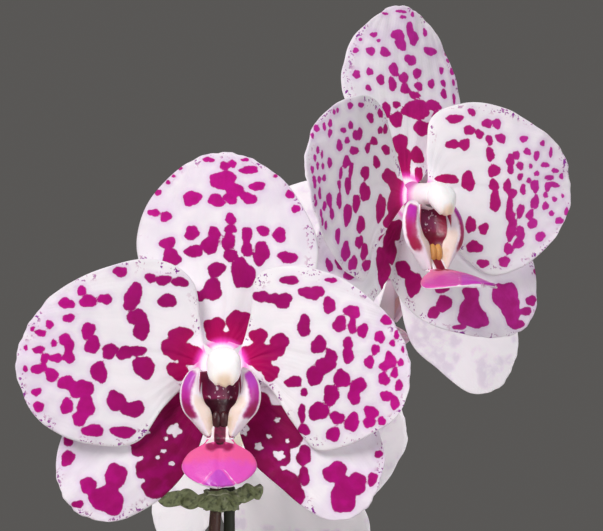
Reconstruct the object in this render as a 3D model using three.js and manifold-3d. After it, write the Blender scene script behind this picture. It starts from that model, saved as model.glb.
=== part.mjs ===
// A potted moth orchid: a tapered pot filled with bark, a short crown with five leathery leaves and
// its roots, a staked flower spike, four spotted blooms with their pedicels, and two buds at the tip.
// Millimetres, +Z up. The origin is the centre of the pot's flat underside, and the first bloom faces -Y.
import * as THREE from "three";
import { mergeVertices } from "three/addons/utils/BufferGeometryUtils.js";
import Module from "manifold-3d";

const wasm = await Module();
wasm.setup();

// Driving dimensions

const CLEARANCE = 0.3; // gap between pieces that touch on the plant
const HOLE_CLEARANCE = 0.35; // gap round a stem in its hole in the bark
const END_DOME = 0.25; // height of a tube's domed end as a share of its radius
const GOLDEN_ANGLE = 2.399963; // radians between neighbours in an even spiral

const POT = {
  height: 115,
  baseRadius: 46,
  bodyTopRadius: 61,
  rimRadius: 67,
  rimHeight: 24,
  wall: 4.5,
  floor: 7,
  lipRound: 1.5,
  sides: 32,
};
const DRAIN = { count: 4, radius: 4.5, ring: 25 };

const BARK = {
  top: 94,
  chips: 28,
  chipLength: 20,
  chipWidth: 12.5,
  chipHeight: 7,
  spread: 0.25, // how far a chip's size strays from the usual
  tilt: 0.35,
  lift: 1.6,
  seed: 11,
};

const CROWN = { x: 0, y: 14, bottom: 86, top: 137, radius: 10, sides: 16 };
// The crown's radius up its height, both as shares.
const CROWN_PROFILE = [[0, 0.6], [0.12, 0.95], [0.5, 1], [0.8, 0.88], [1, 0.5]];

// One row for each leaf: compass direction and heights in degrees and millimetres.
const LEAVES = [
  { azimuth: 4, base: 108, length: 186, width: 70, rise: 17, droop: 40 },
  { azimuth: 183, base: 112, length: 198, width: 74, rise: 24, droop: 44 },
  { azimuth: 357, base: 119, length: 176, width: 66, rise: 46, droop: 30 },
  { azimuth: 169, base: 125, length: 158, width: 60, rise: 60, droop: 22 },
  { azimuth: 8, base: 128, length: 112, width: 44, rise: 88, droop: 6 },
];
const LEAF = {
  thickness: 2.6,
  edge: 1.1,
  foot: 0.36, // width at the foot as a share of the leaf's
  fold: 0.5, // how far the foot is folded up
  channel: 0.16, // how far the sides of the whole leaf rise from its middle
  rollOver: 0.1, // how far its margins turn down again
  rows: 12,
  columns: 5,
  footGap: 0.6,
  footGapPerDegree: 0.016,
  steepest: 60,
};

// Roots that arch over the rim, and roots that turn down into the bark.
const ROOT = { radius: 2.6, height: 104, overRim: 3, sides: 6 };
const ROOTS = [
  { azimuth: 248, over: true, reach: 25 },
  { azimuth: 312, over: true, reach: 52 },
  { azimuth: 96, over: true, reach: 38 },
  { azimuth: 203, over: false, reach: 34 },
  { azimuth: 60, over: false, reach: 30 },
];

const STAKE = { x: 1.6, y: 0, radius: 1.3, bottom: 22, top: 424 };

// The flower spike, from the side of the crown up along the stake and out in an arch.
const SPIKE_ROUTE = [
  [-2.6, 0.6, 109],
  [-3.1, -1.6, 134],
  [-2.9, 0, 175],
  [-2.7, 0, 250],
  [-2.6, 0, 350],
  [-2.3, 0, 416],
  [1.4, 3.4, 438],
  [14, 6, 457],
  [28.4, 15.4, 470],
  [40, 34, 481],
  [50, 45, 495],
  [56, 49, 509],
];
const SPIKE = { baseRadius: 2.6, topRadius: 1.1, sides: 6, steps: 36, nodeSwelling: 0.2, nodeLength: 0.012 };
const BARE_NODES = [0.14, 0.3, 0.46, 0.6]; // joints below the blooms, as shares of the spike's length
const BRACT = {
  length: 9,
  width: 6.5,
  thickness: 0.8,
  flare: 0.9,
  wrap: 1.1,
  below: 0.019, // how far a bloom's bract starts below its node, as a share of the spike's length
};

const PEDICEL = {
  radius: 1.25,
  neck: 1.7,
  receptacle: 3.1, // radius of the knob behind the claws
  stub: 1.5, // how far it runs square to the spike
  knobStart: 0.74, // where the knob begins, as a share of the pedicel's length
  knobLength: 0.12,
  sides: 7,
  steps: 12,
};

const TEPAL = {
  thickness: 0.85,
  clawRadius: 3.4,
  clawSpread: 26,
  tipShare: 0.2, // share of the margin that closes the tip
  columns: 5,
  wavesRound: 0.55, // the waves' middle, as a share of the length
  waveStart: 0.4, // where the waves are full, as a share of the way from the claw
};

// Bloom outlines in millimetres from the centre, seen from the front: x to the right, y up.
// Each starts at its own claw and runs round the free margin back to it.
const FACING = {
  dorsal_sepal: [
    [-6.5, 7], [-16.5, 17], [-21.3, 28.6], [-19.1, 38.7], [-8.5, 49.9], [1.3, 52.3],
    [11.2, 48.5], [19.2, 39.9], [23.7, 28], [19, 15], [7, 6.5],
  ],
  left_petal: [
    [-4.1, 4], [-5.3, 12], [-7, 20.7], [-13.5, 25.4], [-24.5, 25.1], [-40.7, 16.7], [-48, 4],
    [-46.8, -5.7], [-41.5, -13.6], [-28.3, -19], [-20, -17.9], [-13.4, -9.2], [-5.5, -2],
  ],
  right_petal: [
    [4.5, 4], [6.9, 12], [8.4, 21.7], [14, 24.4], [28.4, 21.7], [41.3, 11], [45.3, 0],
    [42.3, -11], [35.3, -16.3], [23.4, -20], [17.3, -13.5], [11.3, -4.7], [5, -1.4],
  ],
  left_sepal: [
    [-6, -2], [-20, -3], [-33, -8.5], [-39.5, -20], [-38.7, -29.7], [-33.6, -35.8],
    [-24.5, -37], [-14.2, -31.6], [-6.6, -22], [-2.6, -9],
  ],
  right_sepal: [
    [6, -2], [20, -3], [33, -8], [39.2, -18.9], [38.6, -27], [34, -35.1],
    [25.1, -36.8], [14, -29], [6.6, -22], [2.6, -9],
  ],
};
const TURNED = {
  dorsal_sepal: [
    [-6.5, 7], [-16, 17], [-20.4, 29], [-17.4, 40.6], [-8.8, 49.2], [-0.8, 52.2],
    [8.6, 48.9], [17.2, 39.9], [23, 27], [18.5, 15], [7, 6.5],
  ],
  left_petal: [
    [-4.5, 4], [-7.8, 11], [-12.2, 20], [-17.6, 24.8], [-28.6, 25], [-40.3, 19], [-46.4, 8],
    [-44, -4], [-37.5, -13.8], [-27.6, -20.8], [-20.6, -22.4], [-17.5, -14], [-6, -3.5],
  ],
  right_petal: [
    [4.2, 4], [4.1, 13], [6.4, 22], [14.4, 25.9], [24.5, 25.5], [36, 20.6], [46.5, 12.7],
    [48.9, 1.8], [44.6, -7.8], [36.5, -17], [24.4, -21.2], [13, -14], [5, -3],
  ],
  left_sepal: [
    [-6, -2], [-20, -2.5], [-33, -8], [-38.4, -19], [-38.6, -29], [-34, -35.6],
    [-25, -36], [-16.5, -28.5], [-8.4, -19], [-2.8, -8],
  ],
  right_sepal: [
    [6, -2], [22, -2.5], [36, -8], [42.2, -20], [41.6, -31], [36.3, -37],
    [24, -38.6], [9.2, -36], [-1, -31.5], [0.6, -20], [1.6, -8.5],
  ],
};

// How each tepal stands: its direction in degrees, the depth of its claw, and how it leans and curls.
const STANCE = {
  dorsal_sepal: { angle: 90, claw: -2.4, lean: -0.02, curl: -0.01, saddle: -0.05, wave: 0.35, waves: 2 },
  left_petal: { angle: 176, claw: 0.1, lean: 0.36, curl: -0.1, saddle: -0.02, wave: 0.7, waves: 3 },
  right_petal: { angle: 4, claw: 0.1, lean: 0.36, curl: -0.1, saddle: -0.02, wave: 0.7, waves: 3 },
  left_sepal: { angle: -135, claw: -2.4, lean: 0.23, curl: -0.07, saddle: -0.04, wave: 0.5, waves: 2 },
  right_sepal: { angle: -45, claw: -2.4, lean: 0.23, curl: -0.07, saddle: -0.04, wave: 0.5, waves: 2 },
};

// Each bloom: its centre, the turn of its face about the upright in degrees, its outlines and how its lip
// hangs. Its pedicel leaves the spike at a node, a share of the spike's length, and passes through the bends.
const BLOOMS = [
  {
    name: "bloom_a",
    centre: [0.6, -28, 456.5],
    turn: 0,
    outlines: FACING,
    scale: 1,
    mirror: false,
    rows: 9,
    lipScale: 1,
    midlobeDroop: 42,
    node: 0.755,
    bends: [[-3.6, -9, 441], [0, -18, 454]],
  },
  {
    name: "bloom_b",
    centre: [49.9, 22, 499.6],
    turn: 38,
    outlines: TURNED,
    scale: 1,
    mirror: false,
    rows: 9,
    lipScale: 1.12,
    midlobeDroop: 8,
    node: 0.885,
    bends: [[37, 31, 489], [43.5, 29.5, 498]],
  },
  {
    name: "bloom_c",
    centre: [46.2, 67, 480.3],
    turn: 188,
    outlines: FACING,
    scale: 1.02,
    mirror: true,
    rows: 7,
    lipScale: 1,
    midlobeDroop: 30,
    node: 0.935,
    bends: [[47.5, 49.5, 487], [47.3, 57, 481.5]],
  },
  {
    name: "bloom_d",
    centre: [3.1, 28, 434],
    turn: 140,
    outlines: TURNED,
    scale: 0.97,
    mirror: true,
    rows: 7,
    lipScale: 1,
    midlobeDroop: 25,
    node: 0.735,
    bends: [[-2.2, 11, 429], [-1.2, 18.5, 433]],
  },
];

const BUD = { stalkRadius: 0.9, stalkTaper: 0.4, stalkEnd: 0.22, bodyShare: 0.8, fullness: 0.6 };
const BUDS = [
  { name: "bud_1", base: [56.3, 49.2, 509.8], direction: [0.45, 0.25, 1], length: 17, radius: 5.6 },
  { name: "bud_2", base: [53.9, 45.7, 503], direction: [0.3, -0.85, 0.75], length: 11, radius: 3.8 },
];

const TIE = {
  besidePoint: 5, // the point of the spike's route that the tie holds
  z: 419.5,
  y: 0.2,
  halfDepth: 2.6,
  stemRadius: 2.1,
  height: 4.2,
  band: 0.8,
  strip: 1,
  knot: 1.5,
  crinkle: 1.1,
  leftArm: 14.6,
  leftRise: -0.6,
  rightArm: 9.5,
  rightRise: 3.2,
};

const FINISH = {
  pot: { color: "#b9745a", roughness: 0.8 },
  bark: { color: "#6b4a33", roughness: 0.95 },
  crown: { color: "#7f8f4a", roughness: 0.6 },
  leaf: { color: "#3f6b35", roughness: 0.4 },
  root: { color: "#a9b09a", roughness: 0.7 },
  spike: { color: "#4f3636", roughness: 0.5 },
  pedicel: { color: "#b9a7ad", roughness: 0.5 },
  tepal: { color: "#dfcbdd", roughness: 0.55 },
  lip: { color: "#d84fa4", roughness: 0.45 },
  column: { color: "#fbf8fb", roughness: 0.4 },
  bud: { color: "#c9a9bd", roughness: 0.5 },
  stake: { color: "#25271b", roughness: 0.5 },
  tie: { color: "#5d6143", roughness: 0.6 },
};

const degrees = THREE.MathUtils.degToRad;
const vec = (x, y, z) => new THREE.Vector3(x, y, z);

/** A repeatable draw between 0 and 1. */
function seeded(seed) {
  let state = seed >>> 0;
  return () => {
    state = (Math.imul(state, 1664525) + 1013904223) >>> 0;
    return state / 4294967296;
  };
}

// Closed solids and their joins

/** A closed geometry as a solid with its faces pointing out. */
function toSolid(geometry) {
  const bare = new THREE.BufferGeometry().setAttribute("position", geometry.getAttribute("position"));
  if (geometry.index) bare.setIndex(geometry.index);
  const merged = mergeVertices(bare, 1e-4);
  const points = merged.getAttribute("position").array;
  const corners = Uint32Array.from(merged.index.array);
  const corner = (k) => vec(points[3 * k], points[3 * k + 1], points[3 * k + 2]);
  let volume = 0;
  for (let i = 0; i < corners.length; i += 3) {
    volume += corner(corners[i]).dot(corner(corners[i + 1]).cross(corner(corners[i + 2])));
  }
  if (volume < 0) {
    for (let i = 0; i < corners.length; i += 3) {
      [corners[i + 1], corners[i + 2]] = [corners[i + 2], corners[i + 1]];
    }
  }
  return new wasm.Manifold(new wasm.Mesh({ numProp: 3, vertProperties: points, triVerts: corners }));
}

/** A solid as a geometry that a mesh can hold. */
function toGeometry(solid) {
  const mesh = solid.getMesh();
  const geometry = new THREE.BufferGeometry();
  geometry.setAttribute("position", new THREE.BufferAttribute(new Float32Array(mesh.vertProperties), 3));
  geometry.setIndex(new THREE.BufferAttribute(new Uint32Array(mesh.triVerts), 1));
  geometry.computeVertexNormals();
  return geometry;
}

/** The union of solids that run into each other, as its one body. */
function join(solids) {
  const bodies = solids.reduce((whole, next) => whole.add(next)).decompose();
  return bodies.reduce((most, body) => (body.volume() > most.volume() ? body : most));
}
const cut = (solid, tools) => tools.reduce((left, tool) => left.subtract(tool), solid);

/** A named mesh of one solid. */
function piece(name, solid, finish) {
  const material = new THREE.MeshStandardMaterial({ ...finish, metalness: 0 });
  const mesh = new THREE.Mesh(toGeometry(solid), material);
  mesh.name = name;
  return mesh;
}

/** A closed blade between two grids of points, front[i][j] and back[i][j], split alike on both faces. */
function blade(front, back) {
  const rows = front.length;
  const columns = front[0].length;
  const points = [...front.flat(), ...back.flat()].flatMap((p) => [p.x, p.y, p.z]);
  const at = (side, i, j) => side * rows * columns + i * columns + j;
  const faces = [];
  for (let i = 0; i + 1 < rows; i++) {
    for (let j = 0; j + 1 < columns; j++) {
      const [a, b, c, d] = [[i, j], [i + 1, j], [i + 1, j + 1], [i, j + 1]];
      for (const [p, q, r] of [[a, b, c], [a, c, d]]) {
        faces.push(at(0, ...p), at(0, ...q), at(0, ...r));
        faces.push(at(1, ...p), at(1, ...r), at(1, ...q));
      }
    }
  }
  const border = [];
  for (let j = 0; j < columns; j++) border.push([0, j]);
  for (let i = 1; i < rows; i++) border.push([i, columns - 1]);
  for (let j = columns - 2; j >= 0; j--) border.push([rows - 1, j]);
  for (let i = rows - 2; i > 0; i--) border.push([i, 0]);
  border.forEach((p, k) => {
    const q = border[(k + 1) % border.length];
    faces.push(at(0, ...p), at(0, ...q), at(1, ...q));
    faces.push(at(0, ...p), at(1, ...q), at(1, ...p));
  });
  const geometry = new THREE.BufferGeometry();
  geometry.setAttribute("position", new THREE.Float32BufferAttribute(points, 3));
  geometry.setIndex(faces);
  return toSolid(geometry);
}

/** A closed body through rings of points, with a point to close each end. */
function loft(rings, start, end) {
  const sides = rings[0].length;
  const last = rings.length - 1;
  const points = [...rings.flat(), start, end].flatMap((p) => [p.x, p.y, p.z]);
  const first = rings.length * sides;
  const faces = [];
  for (let k = 0; k < sides; k++) {
    const n = (k + 1) % sides;
    for (let i = 0; i < last; i++) {
      faces.push(i * sides + k, i * sides + n, (i + 1) * sides + n);
      faces.push(i * sides + k, (i + 1) * sides + n, (i + 1) * sides + k);
    }
    faces.push(first, n, k);
    faces.push(first + 1, last * sides + k, last * sides + n);
  }
  const geometry = new THREE.BufferGeometry();
  geometry.setAttribute("position", new THREE.Float32BufferAttribute(points, 3));
  geometry.setIndex(faces);
  return toSolid(geometry);
}

/** A closed tube along a curve: size(t) gives its half width and half height, and both ends are domed. */
function tube(curve, size, sides, steps) {
  const frames = curve.computeFrenetFrames(steps, false);
  const rings = Array.from({ length: steps + 1 }, (_, i) => {
    const centre = curve.getPointAt(i / steps);
    const [wide, high] = size(i / steps);
    return Array.from({ length: sides }, (_, k) => {
      const a = (2 * Math.PI * k) / sides;
      const p = centre.clone().addScaledVector(frames.normals[i], wide * Math.cos(a));
      return p.addScaledVector(frames.binormals[i], high * Math.sin(a));
    });
  });
  const start = curve.getPointAt(0).addScaledVector(frames.tangents[0], -END_DOME * size(0)[1]);
  const end = curve.getPointAt(1).addScaledVector(frames.tangents[steps], END_DOME * size(1)[1]);
  return loft(rings, start, end);
}

const route = (points) => new THREE.CatmullRomCurve3(points.map((p) => vec(...p)), false, "centripetal");
const lerp = THREE.MathUtils.lerp;

/** A body turned about the upright from a profile of [radius, height] points. */
function turned(profile, sides) {
  const lathe = new THREE.LatheGeometry(profile.map(([r, z]) => new THREE.Vector2(r, z)), sides);
  lathe.rotateX(Math.PI / 2);
  return toSolid(lathe);
}

/** An upright closed cylinder. */
function rod(x, y, bottom, top, radius, sides = 12) {
  const cylinder = new THREE.CylinderGeometry(radius, radius, top - bottom, sides);
  cylinder.rotateX(Math.PI / 2);
  cylinder.translate(x, y, (top + bottom) / 2);
  return toSolid(cylinder);
}

/** An ellipsoid with its three radii along the axes. */
function ellipsoid(centre, radii, width, height) {
  const ball = new THREE.SphereGeometry(1, width, height);
  ball.scale(...radii);
  ball.translate(...centre);
  return toSolid(ball);
}

// Pot, bark and what stands in it

/** Outer radius of the pot's plain body at a height. */
const bodyRadius = (z) => lerp(POT.baseRadius, POT.bodyTopRadius, z / (POT.height - POT.rimHeight));
/** Inner radius of the pot at a height. */
const innerRadius = (z) => lerp(POT.baseRadius, POT.bodyTopRadius, z / POT.height) - POT.wall;

/** The pot: a tapered body under a deeper rim, with drain holes through its floor. */
function pot() {
  const shoulder = POT.height - POT.rimHeight;
  const round = POT.lipRound;
  const shell = turned(
    [
      [0, 0],
      [POT.baseRadius - round, 0],
      [POT.baseRadius, round],
      [bodyRadius(shoulder), shoulder],
      [POT.rimRadius - 2 * round, shoulder],
      [POT.rimRadius - round, shoulder + round],
      [POT.rimRadius, POT.height - round],
      [POT.rimRadius - round, POT.height],
      [innerRadius(POT.height) + round, POT.height],
      [innerRadius(POT.height), POT.height - round],
      [innerRadius(POT.floor), POT.floor],
      [0, POT.floor],
    ],
    POT.sides,
  );
  const drains = Array.from({ length: DRAIN.count }, (_, k) => {
    const a = (2 * Math.PI * (k + 0.5)) / DRAIN.count;
    return rod(DRAIN.ring * Math.cos(a), DRAIN.ring * Math.sin(a), -1, POT.floor + 1, DRAIN.radius);
  });
  return piece("pot", cut(shell, drains), FINISH.pot);
}

/** The bark filling: a plain plug with angular chips sunk into its top, and a plain hole for each stem. */
function barkMedium(holes) {
  const side = (z) => innerRadius(z) - HOLE_CLEARANCE;
  const bottom = POT.floor + HOLE_CLEARANCE;
  const filledTo = (top) =>
    turned([[0, bottom], [side(bottom), bottom], [side(top), top], [0, top]], POT.sides);
  const draw = seeded(BARK.seed);
  const stray = (amount) => 1 + amount * (2 * draw() - 1);
  const chips = Array.from({ length: BARK.chips }, (_, k) => {
    const chip = new THREE.BoxGeometry(
      BARK.chipLength * stray(BARK.spread),
      BARK.chipWidth * stray(BARK.spread),
      BARK.chipHeight * stray(BARK.spread),
    );
    chip.rotateX(stray(BARK.tilt) - 1);
    chip.rotateY(stray(BARK.tilt) - 1);
    chip.rotateZ(2 * Math.PI * draw());
    const reach = side(BARK.top) * Math.sqrt((k + 0.5) / BARK.chips);
    const a = k * GOLDEN_ANGLE;
    chip.translate(reach * Math.cos(a), reach * Math.sin(a), BARK.top + BARK.lift * draw());
    return toSolid(chip);
  });
  const filling = join([filledTo(BARK.top), ...chips]).intersect(filledTo(POT.height));
  return piece("bark_medium", cut(filling, holes), FINISH.bark);
}

/** The crown: the short stem that the leaves and roots spring from. */
function crownSolid(extra) {
  const profile = CROWN_PROFILE.map(([height, share]) => [
    CROWN.radius * share + extra,
    lerp(CROWN.bottom - extra, CROWN.top + extra, height),
  ]);
  const ends = [[0, profile[0][1]], [0, profile.at(-1)[1]]];
  return turned([ends[0], ...profile, ends[1]], CROWN.sides).translate([CROWN.x, CROWN.y, 0]);
}

/** Half width of a leaf along its length as a share of its greatest: a round tip and a narrow foot. */
function leafWidth(t) {
  const place = Math.abs(2 * Math.pow(t, 0.8) - 1);
  const widening = THREE.MathUtils.smoothstep(t, 0, LEAF.foot);
  return Math.sqrt(1 - Math.pow(place, 2.6)) * lerp(LEAF.foot, 1, widening);
}

/** One leathery leaf: folded at its foot, broad and lightly channelled along the middle, with a round tip. */
function leaf(row) {
  const { rows, columns } = LEAF;
  const out = vec(Math.cos(degrees(row.azimuth)), Math.sin(degrees(row.azimuth)), 0);
  const across = vec(-out.y, out.x, 0);
  const foot = vec(CROWN.x, CROWN.y, row.base).addScaledVector(
    out,
    CROWN.radius + LEAF.footGap + LEAF.footGapPerDegree * Math.min(row.rise, LEAF.steepest),
  );
  const front = [];
  const back = [];
  const centre = foot.clone();
  const stationAt = (i) => Math.sin((Math.PI / 2) * Math.min(1, i / (rows - 1)));
  for (let i = 0; i < rows; i++) {
    const t = stationAt(i);
    const slope = degrees(lerp(row.rise, -row.droop, Math.pow(t, 0.85)));
    const along = out.clone().multiplyScalar(Math.cos(slope)).add(vec(0, 0, Math.sin(slope)));
    const up = out.clone().multiplyScalar(-Math.sin(slope)).add(vec(0, 0, Math.cos(slope)));
    const foldedness = Math.pow(1 - t, 3);
    const half = (row.width / 2) * leafWidth(lerp(0.04, 0.99, t));
    front.push([]);
    back.push([]);
    for (let j = 0; j < columns; j++) {
      const v = (2 * j) / (columns - 1) - 1;
      const rise = (LEAF.channel + LEAF.fold * foldedness) * Math.abs(v) - LEAF.rollOver * v * v * t;
      const lift = half * rise;
      const thick = lerp(LEAF.thickness, LEAF.edge, v * v) * lerp(1.15, 0.75, t);
      const p = centre.clone().addScaledVector(across, half * v).addScaledVector(up, lift);
      front[i].push(p.clone().addScaledVector(up, thick / 2));
      back[i].push(p.clone().addScaledVector(up, -thick / 2));
    }
    centre.addScaledVector(along, row.length * (stationAt(i + 1) - t));
  }
  return blade(front, back);
}

/** The course of a root, from the crown's side out over the rim or down into the bark. */
function rootRoute({ azimuth, over, reach }) {
  const at = (r, z, swing = 0) => {
    const a = degrees(azimuth + swing);
    return [CROWN.x + r * Math.cos(a), CROWN.y + r * Math.sin(a), z];
  };
  const start = at(CROWN.radius + CLEARANCE + END_DOME * ROOT.radius, ROOT.height);
  if (!over) {
    const arch = [at(22, ROOT.height + 5, 6), at(reach, BARK.top + 6, 10)];
    return route([start, ...arch, at(reach + 3, BARK.top - 12, 12)]);
  }
  const a = degrees(azimuth);
  const along = CROWN.x * Math.cos(a) + CROWN.y * Math.sin(a);
  const square = CROWN.x ** 2 + CROWN.y ** 2;
  const toPotRadius = (radius) => -along + Math.sqrt(along ** 2 - square + radius ** 2);
  const outside = toPotRadius(POT.rimRadius + ROOT.radius + 2);
  return route([
    start,
    at(0.55 * outside, ROOT.height + 9, 4),
    at(toPotRadius(POT.rimRadius - 5), POT.height + ROOT.radius + ROOT.overRim),
    at(outside, POT.height - 3, -2),
    at(outside + 0.4, POT.height - reach, 1),
  ]);
}

/** One root, tapering to its tip. */
function rootSolid(row, extra) {
  const size = (t) => {
    const r = ROOT.radius * lerp(1, 0.72, t * t) + extra;
    return [r, r];
  };
  return tube(rootRoute(row), size, ROOT.sides, row.over ? 13 : 9);
}

// The spike, its stake and tie

const spikeCurve = route(SPIKE_ROUTE);
const spikeNodes = [...BARE_NODES, ...BLOOMS.map((bloom) => bloom.node)];

/** The spike's radius along its length, swollen at each node. */
function spikeRadius(t) {
  const swelling = spikeNodes.map((node) => Math.exp(-(((t - node) / SPIKE.nodeLength) ** 2)));
  return lerp(SPIKE.baseRadius, SPIKE.topRadius, t) * (1 + SPIKE.nodeSwelling * Math.max(...swelling));
}

/** The way a bloom's pedicel leaves the spike, square to it. */
function pedicelSide(bloom) {
  const toward = vec(...bloom.bends[0]).sub(spikeCurve.getPointAt(bloom.node));
  return toward.projectOnPlane(spikeCurve.getTangentAt(bloom.node)).normalize();
}

/** A bract: a small scale that clasps the spike at a share of its length, on the given side. */
function bract(t, outward) {
  const at = spikeCurve.getPointAt(t);
  const along = spikeCurve.getTangentAt(t);
  const side = outward.clone().projectOnPlane(along).normalize();
  const across = side.clone().cross(along);
  const shrink = lerp(1, 0.6, t);
  const grid = (lift) =>
    [0, 0.5, 1].map((s) =>
      [-1, 0, 1].map((v) => {
        const half = (BRACT.width / 2) * shrink * (1 - 0.85 * s * s);
        const out = 0.78 * spikeRadius(t) + BRACT.flare * s - BRACT.wrap * shrink * Math.abs(v) + lift;
        const p = at.clone().addScaledVector(along, s * BRACT.length * shrink);
        return p.addScaledVector(side, out).addScaledVector(across, v * half);
      }),
    );
  return blade(grid(BRACT.thickness / 2), grid(-BRACT.thickness / 2));
}

/** The flower spike with its bracts: to the left and right in turn, and one beneath each pedicel. */
function flowerSpike() {
  const stem = tube(spikeCurve, (t) => [spikeRadius(t), spikeRadius(t)], SPIKE.sides, SPIKE.steps);
  const bareBracts = BARE_NODES.map((t, k) => bract(t, vec(k % 2 ? 0.9 : -0.9, -0.5, 0)));
  const bloomBracts = BLOOMS.map((bloom) => bract(bloom.node - BRACT.below, pedicelSide(bloom)));
  return piece("flower_spike", join([stem, ...bareBracts, ...bloomBracts]), FINISH.spike);
}

/** The tie's band round the stem and the stake: upright, with half-round ends. */
function tieBand(stemX) {
  const rounds = 7;
  const end = (x, radius, from, grow, z) =>
    Array.from({ length: rounds + 1 }, (_, k) => {
      const a = from + (Math.PI * k) / rounds;
      return vec(x + (radius + grow) * Math.cos(a), TIE.y + (TIE.halfDepth + grow) * Math.sin(a), z);
    });
  const loop = (grow, z) => [
    ...end(stemX - CLEARANCE, TIE.stemRadius, Math.PI / 2, grow, z),
    ...end(STAKE.x + CLEARANCE, STAKE.radius, -Math.PI / 2, grow, z),
  ];
  const low = TIE.z - TIE.height / 2;
  const high = TIE.z + TIE.height / 2;
  const rings = [loop(TIE.band, low), loop(TIE.band, high), loop(0, high), loop(0, low)];
  const count = rings[0].length;
  const faces = rings.flatMap((_, r) =>
    rings[0].flatMap((__, k) => {
      const [a, b] = [r * count, ((r + 1) % rings.length) * count];
      const n = (k + 1) % count;
      return [a + k, a + n, b + n, a + k, b + n, b + k];
    }),
  );
  const geometry = new THREE.BufferGeometry();
  const points = rings.flat().flatMap((p) => [p.x, p.y, p.z]);
  geometry.setAttribute("position", new THREE.Float32BufferAttribute(points, 3));
  geometry.setIndex(faces);
  return toSolid(geometry);
}

/** One loose end of the tie: a flat strip, folded to and fro along its length. */
function tieArm(stemX, direction, length, rise) {
  const steps = 8;
  const inFront = TIE.y - TIE.halfDepth - TIE.band / 2;
  const grid = (lift) =>
    Array.from({ length: steps + 1 }, (_, i) => {
      const t = i / steps;
      return [-1, 0, 1].map((v) => {
        const half = (TIE.height / 2) * lerp(1, 0.8, t) * (1 + 0.18 * Math.sin(17 * t));
        const fold = TIE.crinkle * Math.sin((Math.PI / 2) * i + v) * Math.min(1, 3 * t);
        return vec(
          stemX + TIE.knot + direction * (length + TIE.knot) * t,
          inFront - 1.2 * t + 0.7 * fold + lift,
          TIE.z + rise * t + v * half + 0.4 * fold,
        );
      });
    });
  return blade(grid(-TIE.strip / 2), grid(TIE.strip / 2));
}

/** The crinkled twist tie: a band round stem and stake, with its two ends twisted out to the sides. */
function twistTie() {
  const stemX = SPIKE_ROUTE[TIE.besidePoint][0];
  const arms = [tieArm(stemX, -1, TIE.leftArm, TIE.leftRise), tieArm(stemX, 1, TIE.rightArm, TIE.rightRise)];
  return piece("twist_tie", join([tieBand(stemX), ...arms]), FINISH.tie);
}

// Blooms

/** The depth of a tepal's middle surface at a place in the bloom's plane, with waves that swell at its margin. */
function tepalDepth(stance, length, { x, y }, swell) {
  const a = degrees(stance.angle);
  const u = (x * Math.cos(a) + y * Math.sin(a)) / length;
  const v = (-x * Math.sin(a) + y * Math.cos(a)) / length;
  const lean = stance.lean * u + stance.curl * u * u + stance.saddle * v * v * 4;
  const turn = Math.atan2(v, u - TEPAL.wavesRound);
  return stance.claw + length * lean + stance.wave * swell * Math.sin(stance.waves * turn + stance.angle);
}

/** One tepal as a patch between its narrow claw, its two sides and its tip. */
function tepal(name, bloom) {
  const stance = STANCE[name];
  const sign = bloom.mirror ? -1 : 1;
  const source = bloom.mirror ? mirrored(name) : name;
  const outline = bloom.outlines[source].map(([x, y]) => vec(sign * x * bloom.scale, y * bloom.scale, 0));
  const start = Math.atan2(outline[0].y, outline[0].x) - degrees(stance.angle);
  const spread = Math.sin(start) > 0 ? TEPAL.clawSpread : -TEPAL.clawSpread;
  const claw = (across) => {
    const a = degrees(stance.angle + lerp(spread, -spread, across));
    return vec(TEPAL.clawRadius * Math.cos(a), TEPAL.clawRadius * Math.sin(a), 0);
  };
  const margin = new THREE.CatmullRomCurve3([claw(0), ...outline, claw(1)], false, "centripetal");
  const tipStart = (1 - TEPAL.tipShare) / 2;
  const tip = (across) => margin.getPointAt(lerp(tipStart, 1 - tipStart, across));
  const bulge = (arc, across) => arc(across).sub(arc(0).lerp(arc(1), across));
  const place = (along, across) => {
    const first = margin.getPointAt(tipStart * along);
    const last = margin.getPointAt(1 - tipStart * along);
    const p = first.lerp(last, across).addScaledVector(bulge(claw, across), 1 - along);
    return p.addScaledVector(bulge(tip, across), along);
  };
  const length = 50 * bloom.scale;
  const grid = (lift) =>
    Array.from({ length: bloom.rows }, (_, i) => {
      const along = i / (bloom.rows - 1);
      return Array.from({ length: TEPAL.columns }, (__, j) => {
        const across = j / (TEPAL.columns - 1);
        const nearness = 1 - (1 - Math.pow(along, 6)) * (1 - Math.pow(2 * across - 1, 6));
        const swell = nearness * THREE.MathUtils.smoothstep(along, 0, TEPAL.waveStart);
        const p = place(along, across);
        return vec(p.x, p.y, tepalDepth(stance, length, p, swell) + lift);
      });
    });
  return blade(grid(TEPAL.thickness / 2), grid(-TEPAL.thickness / 2));
}

const mirrored = (name) =>
  name.startsWith("left") ? name.replace("left", "right") : name.replace("right", "left");

// The lip's outlines, in millimetres from the bloom's centre, for its right half.
const LIP = {
  foot: [[0, -3.6, 2.0], [0, -8.5, 4.6], [0, -13, 7.8], [0, -16.6, 10.6]],
  lobeInner: [[2.2, -16], [2.6, -12.4], [4.3, -9.3], [5.3, -6], [5.2, -3], [4.8, -0.8]],
  lobeOuter: [[4.2, -16.6], [7, -13], [9.2, -10.4], [9.9, -7], [9.2, -3.4], [6.6, 0]],
  midlobe: [[3.2, -1.5], [3.6, 1.5], [7.6, 4], [8.9, 7], [7.4, 10.6], [3.8, 13.6], [0.3, 14.4]],
  thickness: 0.8,
  lobe: { depth: 9.4, cup: 1.4, rim: 1.6, lean: 2.2, bow: 0.6, steps: 5 },
  front: { y: -16.4, z: 10.4, arch: 0.028, sag: 0.008, steps: 6 }, // where the front lobe hangs, and its bend
  callus: { x: 1.1, y: -12.6, z: 9.4, radii: [1.4, 2.1, 1.6] },
};

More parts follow.
